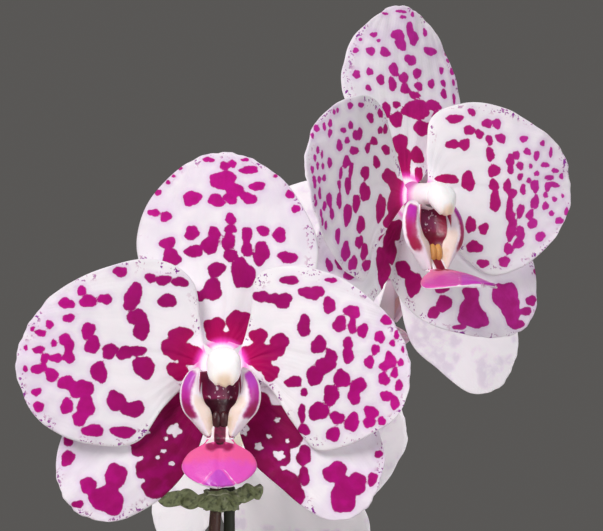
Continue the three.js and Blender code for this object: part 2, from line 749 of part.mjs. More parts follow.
/** The three-lobed lip: a fleshy foot, two raised side lobes, a callus and a drooping front lobe. */
function lip(bloom) {
  const flat = (points) => route(points.map(([x, y]) => [x, y, 0]));
  const foot = tube(route(LIP.foot), (t) => [lerp(1.8, 3.3, t), lerp(0.9, 1.2, t)], 6, 4);
  const lobe = (side) => {
    const { depth, cup, rim, lean, bow, steps } = LIP.lobe;
    const inner = flat(LIP.lobeInner).getSpacedPoints(steps);
    const outer = flat(LIP.lobeOuter).getSpacedPoints(steps);
    const grid = (lift) =>
      inner.map((p, i) => {
        const t = i / steps;
        return [0, 0.5, 1].map((v) => {
          const at = p.clone().lerp(outer[i], v);
          const across = cup * Math.sin(Math.PI * v) - rim * v * v;
          const upward = bow * Math.sin(Math.PI * t) - lean * t * t;
          return vec(side * at.x, at.y, depth + across + upward + lift);
        });
      });
    return blade(grid(LIP.thickness / 2), grid(-LIP.thickness / 2));
  };
  const droop = degrees(bloom.midlobeDroop);
  const { front } = LIP;
  const margin = flat(LIP.midlobe).getSpacedPoints(front.steps);
  const plate = (lift) =>
    margin.map((edge) =>
      [-1, -0.5, 0, 0.5, 1].map((v) => {
        const x = edge.x * v;
        const drop = lift - front.arch * x * x - front.sag * edge.y * edge.y;
        const y = front.y - edge.y * Math.sin(droop) + drop * Math.cos(droop);
        return vec(x, y, front.z + edge.y * Math.cos(droop) + drop * Math.sin(droop));
      }),
    );
  const callus = [-1, 1].map((side) =>
    ellipsoid([side * LIP.callus.x, LIP.callus.y, LIP.callus.z], LIP.callus.radii, 6, 4),
  );
  const frontLobe = blade(plate(LIP.thickness / 2), plate(-LIP.thickness / 2));
  const parts = [foot, lobe(1), lobe(-1), frontLobe, ...callus];
  const hinge = LIP.foot[0][1];
  const size = bloom.lipScale;
  return join(parts).translate([0, -hinge, 0]).scale([size, size, 1]).translate([0, hinge, 0]);
}

// The column along its length: depth, half width, top and underside, in millimetres from the bloom's centre.
const COLUMN = [
  [2, 2.9, 3, -2.7],
  [4.6, 3.1, 3.4, -2.8],
  [6.6, 3.4, 3.5, -2.6],
  [7.6, 3.6, 3.5, -1.6],
  [9.4, 3.8, 3.5, -1.5],
  [10.6, 3.9, 3.3, -3.9],
  [12, 3.5, 2.6, -5.9],
  [13.2, 2.4, 1.3, -5.4],
  [13.9, 1.1, -0.2, -3.4],
];

// The column's beak: the depth from which its underside narrows, and by how much.
const BEAK = { from: 10, narrowing: 0.5 };

/** The column: a short club with its rounded cap, its beak, and the hollow beneath. */
function column() {
  const sides = 10;
  const rings = COLUMN.map(([z, half, top, under]) =>
    Array.from({ length: sides }, (_, k) => {
      const a = (2 * Math.PI * k) / sides;
      const middle = Math.min(top - 1, 0.3);
      const narrow = Math.sin(a) < 0 && z > BEAK.from ? 1 + BEAK.narrowing * Math.sin(a) : 1;
      const reach = Math.sin(a) > 0 ? top - middle : middle - under;
      return vec(half * narrow * Math.cos(a), middle + reach * Math.sin(a), z);
    }),
  );
  const [first, last] = [COLUMN[0], COLUMN.at(-1)];
  return loft(rings, vec(0, 0.2, first[0] - 0.3), vec(0, (last[2] + last[3]) / 2, last[0] + 0.3));
}

/** The pedicel from the spike to the back of its bloom, ending in the knob that the claws gather round. */
function pedicel(bloom, frame) {
  const local = (x, y, z) => vec(x, y, z).applyMatrix4(frame);
  const joint = spikeCurve.getPointAt(bloom.node);
  const bends = bloom.bends.map((p) => vec(...p));
  const reach = spikeRadius(bloom.node) + CLEARANCE + END_DOME * PEDICEL.radius;
  const start = joint.clone().addScaledVector(pedicelSide(bloom), reach);
  const stub = joint.clone().addScaledVector(pedicelSide(bloom), reach + PEDICEL.stub);
  const knob = [local(0, -0.6, -6), local(0, 0, -3), local(0, 0, 0.3)];
  const curve = new THREE.CatmullRomCurve3([start, stub, ...bends, ...knob], false, "centripetal");
  const size = (t) => {
    const widening = THREE.MathUtils.clamp((t - PEDICEL.knobStart) / PEDICEL.knobLength, 0, 1);
    const stalk = lerp(PEDICEL.radius, PEDICEL.neck, Math.min(1, t / PEDICEL.knobStart));
    const r = lerp(stalk, PEDICEL.receptacle, widening);
    return [r, r];
  };
  return tube(curve, size, PEDICEL.sides, PEDICEL.steps);
}

/** A bloom's own frame: x right and y up as seen from its front, z forward. */
function bloomFrame(bloom) {
  const face = new THREE.Quaternion().setFromAxisAngle(vec(1, 0, 0), Math.PI / 2);
  const turn = new THREE.Quaternion().setFromAxisAngle(vec(0, 0, 1), degrees(bloom.turn));
  return turn.multiply(face);
}

/** Adds a bloom and its pedicel. */
function addBloom(plant, bloom) {
  const group = new THREE.Group();
  group.position.set(...bloom.centre);
  group.quaternion.copy(bloomFrame(bloom));
  group.updateMatrix();
  for (const name of Object.keys(STANCE)) {
    group.add(piece(`${bloom.name}_${name}`, tepal(name, bloom), FINISH.tepal));
  }
  group.add(piece(`${bloom.name}_lip`, lip(bloom), FINISH.lip));
  group.add(piece(`${bloom.name}_column`, column(), FINISH.column));
  plant.add(group);
  plant.add(piece(`${bloom.name}_pedicel`, pedicel(bloom, group.matrix), FINISH.pedicel));
}

/** A closed bud on its short stalk. */
function bud({ base, direction, length, radius }) {
  const start = vec(...base);
  const way = vec(...direction).normalize();
  const curve = new THREE.LineCurve3(start, start.clone().addScaledVector(way, length));
  const profile = (t) => {
    const place = THREE.MathUtils.clamp((t - BUD.stalkEnd) / BUD.bodyShare, 0, 1);
    const body = radius * Math.pow(Math.max(0, Math.sin(Math.PI * place)), BUD.fullness);
    const r = Math.max(BUD.stalkRadius * (1 - BUD.stalkTaper * t), body);
    return [r, r];
  };
  return tube(curve, profile, 9, 11);
}

const orchid = new THREE.Group();

/** The stake as a plain rod; a wider and deeper one cuts its hole. */
function stakeSolid(extra, top) {
  return rod(STAKE.x, STAKE.y, STAKE.bottom - extra, top, STAKE.radius + extra);
}

const holes = [
  crownSolid(HOLE_CLEARANCE),
  stakeSolid(HOLE_CLEARANCE, POT.height),
  ...ROOTS.map((row) => rootSolid(row, HOLE_CLEARANCE)),
];

orchid.add(pot());
orchid.add(barkMedium(holes));
orchid.add(piece("crown", crownSolid(0), FINISH.crown));
LEAVES.forEach((row, k) => orchid.add(piece(`leaf_${k + 1}`, leaf(row), FINISH.leaf)));
ROOTS.forEach((row, k) => orchid.add(piece(`root_${k + 1}`, rootSolid(row, 0), FINISH.root)));
orchid.add(piece("stake", stakeSolid(0, STAKE.top), FINISH.stake));
orchid.add(flowerSpike());
orchid.add(twistTie());
BLOOMS.forEach((bloom) => addBloom(orchid, bloom));
BUDS.forEach((row) => orchid.add(piece(row.name, bud(row), FINISH.bud)));

export default orchid;
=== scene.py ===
"""A potted spotted moth orchid, dressed piece by piece over its solid model.

Lengths are written in millimetres and built in metres, +Z up, with the front bloom facing -Y. A bloom's own
frame has x to the right and y up as seen from its front, and z forward.
"""

import logging
import math
from collections.abc import Callable, Mapping, Sequence
from dataclasses import dataclass, replace
from enum import Enum

import bpy
import numpy as np
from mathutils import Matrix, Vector


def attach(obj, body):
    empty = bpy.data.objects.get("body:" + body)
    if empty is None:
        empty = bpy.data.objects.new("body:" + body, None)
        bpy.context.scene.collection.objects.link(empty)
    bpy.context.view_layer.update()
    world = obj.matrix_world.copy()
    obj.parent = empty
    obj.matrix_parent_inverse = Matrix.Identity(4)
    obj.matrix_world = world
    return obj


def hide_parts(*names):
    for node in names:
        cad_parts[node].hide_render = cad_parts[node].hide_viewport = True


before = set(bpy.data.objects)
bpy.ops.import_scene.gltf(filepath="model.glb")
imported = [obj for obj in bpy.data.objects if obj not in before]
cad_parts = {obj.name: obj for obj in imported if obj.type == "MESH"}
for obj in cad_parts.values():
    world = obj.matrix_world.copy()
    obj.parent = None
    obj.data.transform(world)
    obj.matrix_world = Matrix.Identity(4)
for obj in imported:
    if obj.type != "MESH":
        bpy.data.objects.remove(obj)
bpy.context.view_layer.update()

LOG = logging.getLogger("orchid")
MM = 0.001
GOLDEN_ANGLE = 2.399963
CLEARANCE = 0.3
END_DOME = 0.25

TEPAL_LENGTH = 50
FAR_OFF = 40.0

Array = np.ndarray
Amount = float | Array
Placing = Callable[[Array], Array]
Point = Sequence[float]
Row = tuple[float, float, float, float]
Colour = tuple[float, float, float, float]


def lerp(start: Amount, end: Amount, share: Amount) -> Amount:
    """The value a share of the way from start to end."""
    return start + (end - start) * share


def ease(value: Amount, low: float = 0.0, high: float = 1.0) -> Amount:
    """A soft step from 0 at low to 1 at high."""
    share = np.clip((value - low) / (high - low), 0.0, 1.0)
    return share * share * (3.0 - 2.0 * share)


def squared(value: Array, power: Amount) -> Array:
    """A sine or cosine whose power below 1 makes a circle squarer."""
    return np.sign(value) * np.abs(value) ** power


def unit(vector: Array) -> Array:
    """A vector, or rows of vectors, brought to length 1."""
    return vector / np.maximum(np.linalg.norm(vector, axis=-1, keepdims=True), 1e-12)


def through(rows: Array, place: Array) -> Array:
    """Rows of numbers read smoothly between their entries.

    Args:
        rows: The known rows, one for each whole place.
        place: Where to read, counted in rows.

    Returns:
        One row for each place.
    """
    rows = np.asarray(rows, float)
    place = np.asarray(place, float)
    padded = np.vstack([2 * rows[0] - rows[1], rows, 2 * rows[-1] - rows[-2]])
    k = np.clip(np.floor(place).astype(int), 0, len(rows) - 2)
    s = (place - k)[:, None]
    a, b, c, d = (padded[k + step] for step in range(4))
    bend = 2 * b + (c - a) * s + (2 * a - 5 * b + 4 * c - d) * s**2 + (3 * b - a - 3 * c + d) * s**3
    return 0.5 * bend


class Course:
    """A smooth route through points. Places on it are shares of its length."""

    SHORTEST = 1e-4
    LOOK = 0.003

    def __init__(self, points: Sequence[Point], steps: int = 60) -> None:
        """Walks the route once.

        Args:
            points: The points that it passes through.
            steps: How many steps are walked between two points.
        """
        known = np.asarray(points, float)
        padded = np.vstack([2 * known[0] - known[1], known, 2 * known[-1] - known[-2]])
        s = np.linspace(0.0, 1.0, steps, endpoint=False)[:, None]
        spans = [self._span(padded[k : k + 4], s) for k in range(len(known) - 1)]
        self.walk = np.vstack([*spans, known[-1:]])
        paces = np.linalg.norm(np.diff(self.walk, axis=0), axis=1)
        reach = np.concatenate([[0.0], np.cumsum(paces)])
        self.length = float(reach[-1])
        self.shares = reach / self.length

    @staticmethod
    def _span(four: Array, s: Array) -> Array:
        """The points between the middle two of four, with centripetal spacing.

        Args:
            four: Four points in a row.
            s: Shares of the way from the second to the third.

        Returns:
            One point for each share.
        """
        before, gap, after = np.sqrt(np.linalg.norm(np.diff(four, axis=0), axis=1))
        gap = max(gap, Course.SHORTEST)
        before = before if before > Course.SHORTEST else gap
        after = after if after > Course.SHORTEST else gap
        a, b, c, d = four
        leave = ((b - a) / before - (c - a) / (before + gap) + (c - b) / gap) * gap
        arrive = ((c - b) / gap - (d - b) / (gap + after) + (d - c) / after) * gap
        square = (3 * (c - b) - 2 * leave - arrive) * s**2
        return b + leave * s + square + (2 * (b - c) + leave + arrive) * s**3

    def at(self, share: Amount) -> Array:
        """Points of the route.

        Args:
            share: A share of the length, or several.

        Returns:
            The point there, or one row for each share.
        """
        share = np.asarray(share, float)
        axes = [np.interp(share, self.shares, self.walk[:, k]) for k in range(3)]
        return np.stack(axes, axis=-1)

    def heading(self, share: Amount) -> Array:
        """Directions of the route.

        Args:
            share: A share of the length, or several.

        Returns:
            The direction there, or one row for each share.
        """
        share = np.asarray(share, float)
        ahead, behind = np.minimum(share + self.LOOK, 1.0), np.maximum(share - self.LOOK, 0.0)
        return unit(self.at(ahead) - self.at(behind))


@dataclass
class Block:
    """One closed body of a form: its points, its faces and the values at its points."""

    points: Array
    quads: Array
    triangles: Array
    values: dict[str, Array]

    def turned_out(self) -> "Block":
        """The same body with its faces pointing out.

        Returns:
            This block, or one with all its faces the other way round.
        """
        fans = [self.quads[:, [0, 1, 2]], self.quads[:, [0, 2, 3]], self.triangles]
        a, b, c = (self.points[np.vstack(fans)[:, k]] for k in range(3))
        if np.einsum("ij,ij->", a, np.cross(b, c)) < 0:
            return Block(self.points, self.quads[:, ::-1], self.triangles[:, ::-1], self.values)
        return self


class Form:
    """The mesh of one piece in the making, gathered from closed bodies in millimetres."""

    NO_TRIANGLES = np.zeros((0, 3), int)
    DOME_RINGS = np.array([0.35, 0.75])
    FIRST_NORMAL = (0.31, 0.93, 0.17)

    def __init__(self) -> None:
        """Starts with no bodies."""
        self.blocks: list[Block] = []

    def add(self, points: Array, quads: Array, triangles: Array, values: Mapping[str, Array]) -> "Form":
        """Adds a closed body.

        Args:
            points: Its points, one in each row.
            quads: Its four-sided faces.
            triangles: Its three-sided faces.
            values: The values at its points, by name.

        Returns:
            This form.
        """
        full = {name: np.broadcast_to(np.asarray(value, float).ravel(), (len(points),))
                for name, value in values.items()}
        self.blocks.append(Block(points, quads, triangles, full).turned_out())
        return self

    def sheet(self, front: Array, back: Array, front_values: Mapping[str, Array],
              back_values: Mapping[str, Array]) -> "Form":
        """Adds a thin body between two grids of points, closed round its border.

        Args:
            front: The points of its face, by row and column.
            back: The points of its back, laid out alike.
            front_values: The values over its face, by name.
            back_values: The values over its back, by name.

        Returns:
            This form.
        """
        rows, columns = front.shape[:2]
        number = np.arange(rows * columns).reshape(rows, columns)
        face = np.stack([number[:-1, :-1], number[1:, :-1], number[1:, 1:], number[:-1, 1:]], -1)
        face = face.reshape(-1, 4)
        border = np.concatenate([number[0, :-1], number[:-1, -1], number[-1, :0:-1], number[:0:-1, 0]])
        follow = np.roll(border, -1)
        far = rows * columns
        rim = np.stack([border, follow, follow + far, border + far], -1)
        quads = np.vstack([face, face[:, ::-1] + far, rim])
        points = np.vstack([front.reshape(-1, 3), back.reshape(-1, 3)])
        spread = np.ones((rows, columns))
        values = {name: np.concatenate([(value * spread).ravel(), (back_values[name] * spread).ravel()])
                  for name, value in front_values.items()}
        return self.add(points, quads, self.NO_TRIANGLES, values)

    def loft(self, rings: Array, start: Point, end: Point,
             values: Mapping[str, Array] | None = None) -> "Form":
        """Adds a body through rings of points, with a point to close each end.

        Args:
            rings: The points by ring and place round it.
            start: The point that closes the first ring.
            end: The point that closes the last ring.
            values: Values by name, by ring and place, or one number for each ring.

        Returns:
            This form.
        """
        count, sides = rings.shape[:2]
        number = np.arange(count * sides).reshape(count, sides)
        follow = np.roll(number, -1, axis=1)
        quads = np.stack([number[:-1], follow[:-1], follow[1:], number[1:]], -1).reshape(-1, 4)
        first = count * sides
        near = np.stack([np.full(sides, first), follow[0], number[0]], -1)
        far = np.stack([np.full(sides, first + 1), number[-1], follow[-1]], -1)
        full = {}
        for name, value in (values or {}).items():
            spread = np.asarray(value, float)
            spread = spread[:, None] if spread.ndim == 1 else spread
            spread = np.broadcast_to(spread, (count, sides))
            full[name] = np.concatenate([spread.ravel(), [spread[0].mean(), spread[-1].mean()]])
        points = np.vstack([rings.reshape(-1, 3), [start], [end]])
        return self.add(points, quads, np.vstack([near, far]), full)

    def tube(self, course: Course, radius: Callable[[Array], Array], sides: int, rings: int,
             values: Mapping[str, Array] | None = None,
             ripple: Callable[[Array, Array], Array] | None = None) -> "Form":
        """Adds a round tube along a route, with both ends domed.

        Args:
            course: The route of its middle.
            radius: Its radius at shares of its length.
            sides: How many points go round it.
            rings: How many rings it has along its length.
            values: Values by name for each ring.
            ripple: A factor on the radius at shares of the length and angles round it.

        Returns:
            This form.
        """
        share = np.linspace(0.0, 1.0, rings)
        middle = course.at(share)
        heading = course.heading(share)
        normal = np.zeros_like(heading)
        normal[0] = unit(np.cross(heading[0], self.FIRST_NORMAL))
        for k in range(1, rings):
            carried = normal[k - 1] - heading[k] * np.dot(normal[k - 1], heading[k])
            normal[k] = unit(carried)
        other = np.cross(heading, normal)
        angle = np.linspace(0.0, 2.0 * math.pi, sides, endpoint=False)
        size = radius(share)[:, None] * np.ones(sides)
        if ripple:
            size = size * ripple(share[:, None], angle[None, :])
        ring = middle[:, None] + size[..., None] * (
            np.cos(angle)[None, :, None] * normal[:, None] + np.sin(angle)[None, :, None] * other[:, None])
        caps = []
        for end, way in ((0, -1.0), (-1, 1.0)):
            lift = END_DOME * radius(share)[end] * np.sin(np.arccos(self.DOME_RINGS))
            ring_end = ring[end] - middle[end]
            caps.append([middle[end] + ring_end * shrink + way * heading[end] * rise
                         for shrink, rise in zip(self.DOME_RINGS, lift)])
        full = np.concatenate([caps[0], ring, caps[1][::-1]])
        start = middle[0] - heading[0] * END_DOME * radius(share)[0]
        end = middle[-1] + heading[-1] * END_DOME * radius(share)[-1]
        spread = {}
        for name, value in (values or {}).items():
            value = np.asarray(value, float)
            spread[name] = np.concatenate([value[:1], value[:1], value, value[-1:], value[-1:]])
        return self.loft(full, start, end, spread)

    def turned(self, profile: Sequence[Point], sides: int, middle: Point = (0.0, 0.0),
               values: Mapping[str, Array] | None = None) -> "Form":
        """Adds a body turned about an upright axis.

        Args:
            profile: Radius and height from its lower end on the axis to its upper end on the axis.
            sides: How many points go round it.
            middle: Where its axis stands.
            values: Values by name for each point of the profile between its ends.

        Returns:
            This form.
        """
        shape = np.asarray(profile, float)
        angle = np.linspace(0.0, 2.0 * math.pi, sides, endpoint=False)
        inner = shape[1:-1]
        rings = np.stack([
            middle[0] + inner[:, :1] * np.cos(angle),
            middle[1] + inner[:, :1] * np.sin(angle),
            np.repeat(inner[:, 1:], sides, axis=1),
        ], -1)
        start = (middle[0], middle[1], shape[0, 1])
        end = (middle[0], middle[1], shape[-1, 1])
        return self.loft(rings, start, end, values)

    def build(self, name: str, smooth: bool = True) -> bpy.types.Object:
        """Makes the Blender object.

        Args:
            name: The piece's name.
            smooth: Whether light runs smoothly over its faces.

        Returns:
            The new object, at the origin, with its points in metres.
        """
        firsts = np.cumsum([0, *(len(block.points) for block in self.blocks)])
        points = np.vstack([block.points for block in self.blocks]) * MM
        quads = np.vstack([block.quads + first for block, first in zip(self.blocks, firsts)])
        triangles = np.vstack([block.triangles + first for block, first in zip(self.blocks, firsts)])
        mesh = bpy.data.meshes.new(name)
        mesh.vertices.add(len(points))
        mesh.vertices.foreach_set("co", points.ravel())
        corners = np.concatenate([quads.ravel(), triangles.ravel()])
        mesh.loops.add(len(corners))
        mesh.loops.foreach_set("vertex_index", corners)
        starts = np.concatenate([np.arange(len(quads)) * 4, quads.size + np.arange(len(triangles)) * 3])
        mesh.polygons.add(len(starts))
        mesh.polygons.foreach_set("loop_start", starts)
        mesh.polygons.foreach_set("use_smooth", np.full(len(starts), smooth))
        mesh.update(calc_edges=True)
        names = {key for block in self.blocks for key in block.values}
        for key in sorted(names):
            level = [block.values.get(key, np.zeros(len(block.points))) for block in self.blocks]
            layer = mesh.attributes.new(key, "FLOAT", "POINT")
            layer.data.foreach_set("value", np.concatenate(level))
        piece = bpy.data.objects.new(name, mesh)
        bpy.context.scene.collection.objects.link(piece)
        return piece


# Shaders


def tint(red: int, green: int, blue: int) -> Colour:
    """A screen colour as the linear colour that a shader takes.

    Args:
        red: How red it is, from 0 to 255.
        green: How green it is.
        blue: How blue it is.

    Returns:
        Red, green, blue and a full alpha, from 0 to 1.
    """
    channels = (value / 255.0 for value in (red, green, blue))
    linear = (c / 12.92 if c <= 0.04045 else ((c + 0.055) / 1.055) ** 2.4 for c in channels)
    return (*linear, 1.0)


class Level:
    """A number that changes over a surface. Arithmetic on it adds Math nodes."""

    def __init__(self, paint: "Paint", socket: bpy.types.NodeSocket) -> None:
        """Wraps a socket of the given paint."""
        self.paint = paint
        self.socket = socket

    def _math(self, operation: str, *terms: "Level | float") -> "Level":
        """Adds a Math node.

        Args:
            operation: What it does.
            terms: The levels or numbers that it does it to.

        Returns:
            Its result.
        """
        sockets = dict(zip(("Value", "Value_001", "Value_002"), terms))
        node = self.paint.node("ShaderNodeMath", {"operation": operation}, sockets)
        return Level(self.paint, node.outputs["Value"])

    def __add__(self, other: "Level | float") -> "Level":
        """This and another number together."""
        return self._math("ADD", self, other)

    def __radd__(self, other: float) -> "Level":
        """A number and this together."""
        return self._math("ADD", other, self)

    def __sub__(self, other: "Level | float") -> "Level":
        """This less another number."""
        return self._math("SUBTRACT", self, other)

    def __rsub__(self, other: float) -> "Level":
        """A number less this."""
        return self._math("SUBTRACT", other, self)

    def __mul__(self, other: "Level | float") -> "Level":
        """This times another number."""
        return self._math("MULTIPLY", self, other)

    def __rmul__(self, other: float) -> "Level":
        """A number times this."""
        return self._math("MULTIPLY", other, self)

    def sine(self) -> "Level":
        """The sine of this, in radians."""
        return self._math("SINE", self)

    def size(self) -> "Level":
        """This without its sign."""
        return self._math("ABSOLUTE", self)

    def over(self, other: "Level | float") -> "Level":
        """The greater of this and another number."""
        return self._math("MAXIMUM", self, other)

    def step(self, low: float, high: float, bottom: float = 0.0, top: float = 1.0) -> "Level":
        """A soft step.

        Args:
            low: Where it leaves its bottom.
            high: Where it reaches its top. It may be less than low.
            bottom: Its value before the step.
            top: Its value after the step.

        Returns:
            The stepped level.
        """
        sockets = {"Value": self, "From Min": low, "From Max": high, "To Min": bottom, "To Max": top}
        node = self.paint.node("ShaderNodeMapRange", {"interpolation_type": "SMOOTHSTEP"}, sockets)
        return Level(self.paint, node.outputs["Result"])


class Paint:
    """A procedural material in the making."""

    BLACK = tint(0, 0, 0)

    def __init__(self, name: str, **constants: object) -> None:
        """Starts a material.

        Args:
            name: The material's name.
            constants: Values of the shader's own sockets that are the same all over, by socket name
                with underscores for spaces.
        """
        self.material = bpy.data.materials.new(name)
        self.material.use_nodes = True
        self.tree = self.material.node_tree
        self.shader = self.tree.nodes["Principled BSDF"]
        for key, value in constants.items():
            self.shader.inputs[key.replace("_", " ")].default_value = value
        self.place = self.node("ShaderNodeTexCoord").outputs["Object"]

    def node(self, kind: str, settings: Mapping[str, object] | None = None,
             sockets: Mapping[str, object] | None = None) -> bpy.types.Node:
        """Adds a node.

        Args:
            kind: The node's type.
            settings: Its settings by name.
            sockets: Values or links of its sockets, by their identifiers.

        Returns:
            The new node.
        """
        node = self.tree.nodes.new(kind)
        for key, value in (settings or {}).items():
            setattr(node, key, value)
        known = {socket.identifier: socket for socket in node.inputs}
        for key, value in (sockets or {}).items():
            self._feed(known[key], value)
        return node

    def _feed(self, socket: bpy.types.NodeSocket, value: object) -> None:
        """Gives a socket its value, or links it.

        Args:
            socket: The socket to be fed.
            value: A number, a colour, a level or another node's socket.
        """
        source = value.socket if isinstance(value, Level) else value
        if isinstance(source, bpy.types.NodeSocket):
            self.tree.links.new(source, socket)
        else:
            socket.default_value = source

    def level(self, name: str) -> Level:
        """A value kept at the mesh's points, by name."""
        node = self.node("ShaderNodeAttribute", {"attribute_name": name})
        return Level(self, node.outputs["Fac"])

    def stretched(self, stretch: Point) -> bpy.types.NodeSocket:
        """The place on the piece, stretched along the three axes."""
        sockets = {"Vector": self.place, "Vector_001": stretch}
        return self.node("ShaderNodeVectorMath", {"operation": "MULTIPLY"}, sockets).outputs["Vector"]

    def noise(self, size: float, detail: float = 2.0, stretch: Point | None = None) -> Level:
        """Soft noise.

        Args:
            size: The size of its clouds in millimetres.
            detail: How much finer it goes on.
            stretch: Factors on the three axes before the noise is laid.

        Returns:
            A level round 0.5.
        """
        place = self.stretched(stretch) if stretch else self.place
        sockets = {"Vector": place, "Scale": 1.0 / (size * MM), "Detail": detail}
        return Level(self, self.node("ShaderNodeTexNoise", None, sockets).outputs["Fac"])

    def mix(self, factor: "Level | float", first: object, second: object) -> bpy.types.NodeSocket:
        """Mixes two colours.

        Args:
            factor: How much of the second one comes in.
            first: The first colour.
            second: The second colour.

        Returns:
            The colour between them.
        """
        sockets = {"Factor_Float": factor, "A_Color": first, "B_Color": second}
        node = self.node("ShaderNodeMix", {"data_type": "RGBA"}, sockets)
        return next(socket for socket in node.outputs if socket.identifier == "Result_Color")

    def feed(self, name: str, value: object) -> None:
        """Feeds the shader's socket of a name."""
        self._feed(self.shader.inputs[name], value)

    def finish(self, colour: object, roughness: "Level | float", relief: Level | None = None,
               depth: float = 0.1, coat: Level | None = None) -> bpy.types.Material:
        """Feeds the shader.

        Args:
            colour: The base colour.
            roughness: The roughness.
            relief: The height of the surface's fine relief, from 0 to 1.
            depth: How deep the relief is, in millimetres.
            coat: The weight of the gloss on top.

        Returns:
            The finished material.
        """
        self.feed("Base Color", colour)
        self.feed("Roughness", roughness)
        if relief is not None:
            sockets = {"Height": relief, "Distance": depth * MM, "Strength": 1.0}
            bump = self.node("ShaderNodeBump", None, sockets)
            self.feed("Normal", bump.outputs["Normal"])
        if coat is not None:
            self.feed("Coat Weight", coat)
        return self.material


class Slot(Enum):
    """The record's material slots."""

    TERRACOTTA = "terracotta"
    BARK = "bark"
    CROWN = "crown_green"
    LEAF = "leaf_green"
    ROOT = "root_silver"
    SPIKE = "spike_purple"
    PEDICEL = "pedicel_mauve"
    TEPAL = "tepal_spotted"
    LIP = "lip_magenta"
    COLUMN = "column_white"
    BUD = "bud_mauve"
    STAKE = "stake_green"
    TIE = "tie_green"


def set_out(form: Form, name: str, material: bpy.types.Material, nodes: Sequence[str] = (),
            smooth: bool = True) -> bpy.types.Object:
    """Builds a piece, finishes it and has it ride on the plant.

    Args:
        form: The piece's mesh.
        name: The piece's name.
        material: Its finish.
        nodes: The solids that it replaces.
        smooth: Whether light runs smoothly over its faces.

    Returns:
        The piece.
    """
    piece = form.build(name, smooth)
    piece.data.materials.append(material)
    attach(piece, "root")
    if nodes:
        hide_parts(*nodes)
    LOG.info("%s: %d faces", name, len(piece.data.polygons))
    return piece


# Finishes


@dataclass(frozen=True)
class TerracottaFinish:
    """Fired clay with a fine grain, damp shade low down and pale mineral bloom."""

    clay: Colour = tint(176, 104, 74)
    pale: Colour = tint(206, 146, 118)
    bloom: Colour = tint(222, 206, 192)
    damp: Colour = tint(138, 78, 56)

    def material(self) -> bpy.types.Material:
        """Lays out the shader.

        Returns:
            The finished material.
        """
        paint = Paint("terracotta_clay", Specular_IOR_Level=0.3)
        cloud = paint.noise(26, 4)
        speck = paint.noise(1.1, 3)
        height = paint.level("height")
        colour = paint.mix(cloud.step(0.3, 0.7), self.clay, self.pale)
        colour = paint.mix(height.step(0.55, 0.0) * paint.noise(15, 3).step(0.3, 0.75), colour, self.damp)
        bloom = paint.noise(9, 5).step(0.54, 0.72) * paint.noise(40, 2).step(0.4, 0.6)
        colour = paint.mix(bloom * 0.75, colour, self.bloom)
        colour = paint.mix(speck.step(0.62, 0.75) * 0.35, colour, self.damp)
        relief = speck * 0.6 + paint.noise(7, 2) * 0.6 + paint.noise(3, 1, (0.15, 0.15, 1.0)) * 0.6
        return paint.finish(colour, speck.step(0.2, 0.8, 0.72, 0.92), relief, 0.35)


@dataclass(frozen=True)
class BarkFinish:
    """Bark chips, each its own brown, with pale flecks and long fibres."""

    dark: Colour = tint(70, 42, 28)
    brown: Colour = tint(122, 80, 52)
    tan: Colour = tint(172, 128, 88)
    grey: Colour = tint(140, 126, 110)

    def material(self) -> bpy.types.Material:
        """Lays out the shader.

        Returns:
            The finished material.
        """
        paint = Paint("bark_chip", Specular_IOR_Level=0.2)
        tone = paint.level("tone")
        fibre = paint.noise(1.4, 4, (0.5, 1.0, 2.2))
        colour = paint.mix(tone.step(0.1, 0.9), self.dark, self.brown)
        colour = paint.mix(tone.step(0.6, 1.0) * 0.8, colour, self.tan)
        colour = paint.mix(fibre.step(0.45, 0.75) * 0.6, colour, self.tan)
        colour = paint.mix(paint.noise(4, 3).step(0.55, 0.75) * 0.5, colour, self.grey)
        colour = paint.mix(fibre.step(0.5, 0.25) * 0.7, colour, self.dark)
        relief = fibre + paint.noise(3.2, 3) * 0.8
        return paint.finish(colour, 0.9, relief, 0.9)


@dataclass(frozen=True)
class LeafFinish:
    """A leathery leaf: deep green and glossy above, paler below, with fine lengthwise veins."""

    deep: Colour = tint(42, 78, 34)
    fresh: Colour = tint(78, 118, 52)
    under: Colour = tint(112, 128, 78)
    wine: Colour = tint(96, 52, 58)
    rib: Colour = tint(118, 148, 84)

    def material(self) -> bpy.types.Material:
        """Lays out the shader.

        Returns:
            The finished material.
        """
        paint = Paint("leaf_skin", Coat_Roughness=0.25, Subsurface_Weight=0.05, Subsurface_Scale=0.002)
        across = paint.level("across")
        along = paint.level("along")
        front = paint.level("front")
        side = across.size()
        mottle = paint.noise(11, 3)
        colour = paint.mix(mottle.step(0.35, 0.7) * 0.6, self.deep, self.fresh)
        colour = paint.mix(side.step(0.09, 0.0) * 0.7, colour, self.rib)
        veins = (across * 95.0).sine().step(-1.0, 1.0)
        colour = paint.mix(veins * 0.14, colour, self.rib)
        colour = paint.mix(along.step(0.24, 0.0) * 0.6, colour, self.rib)
        colour = paint.mix(side.step(0.965, 1.0) * 0.7, colour, self.wine)
        below = paint.mix(paint.noise(9, 3).step(0.4, 0.7) * 0.5, self.under, self.wine)
        colour = paint.mix(1.0 - front, colour, below)
        relief = veins * 0.35 + paint.noise(0.7, 2) * 0.35 + mottle * 0.8
        return paint.finish(colour, mottle.step(0.2, 0.8, 0.32, 0.48), relief, 0.22, front * 0.25)


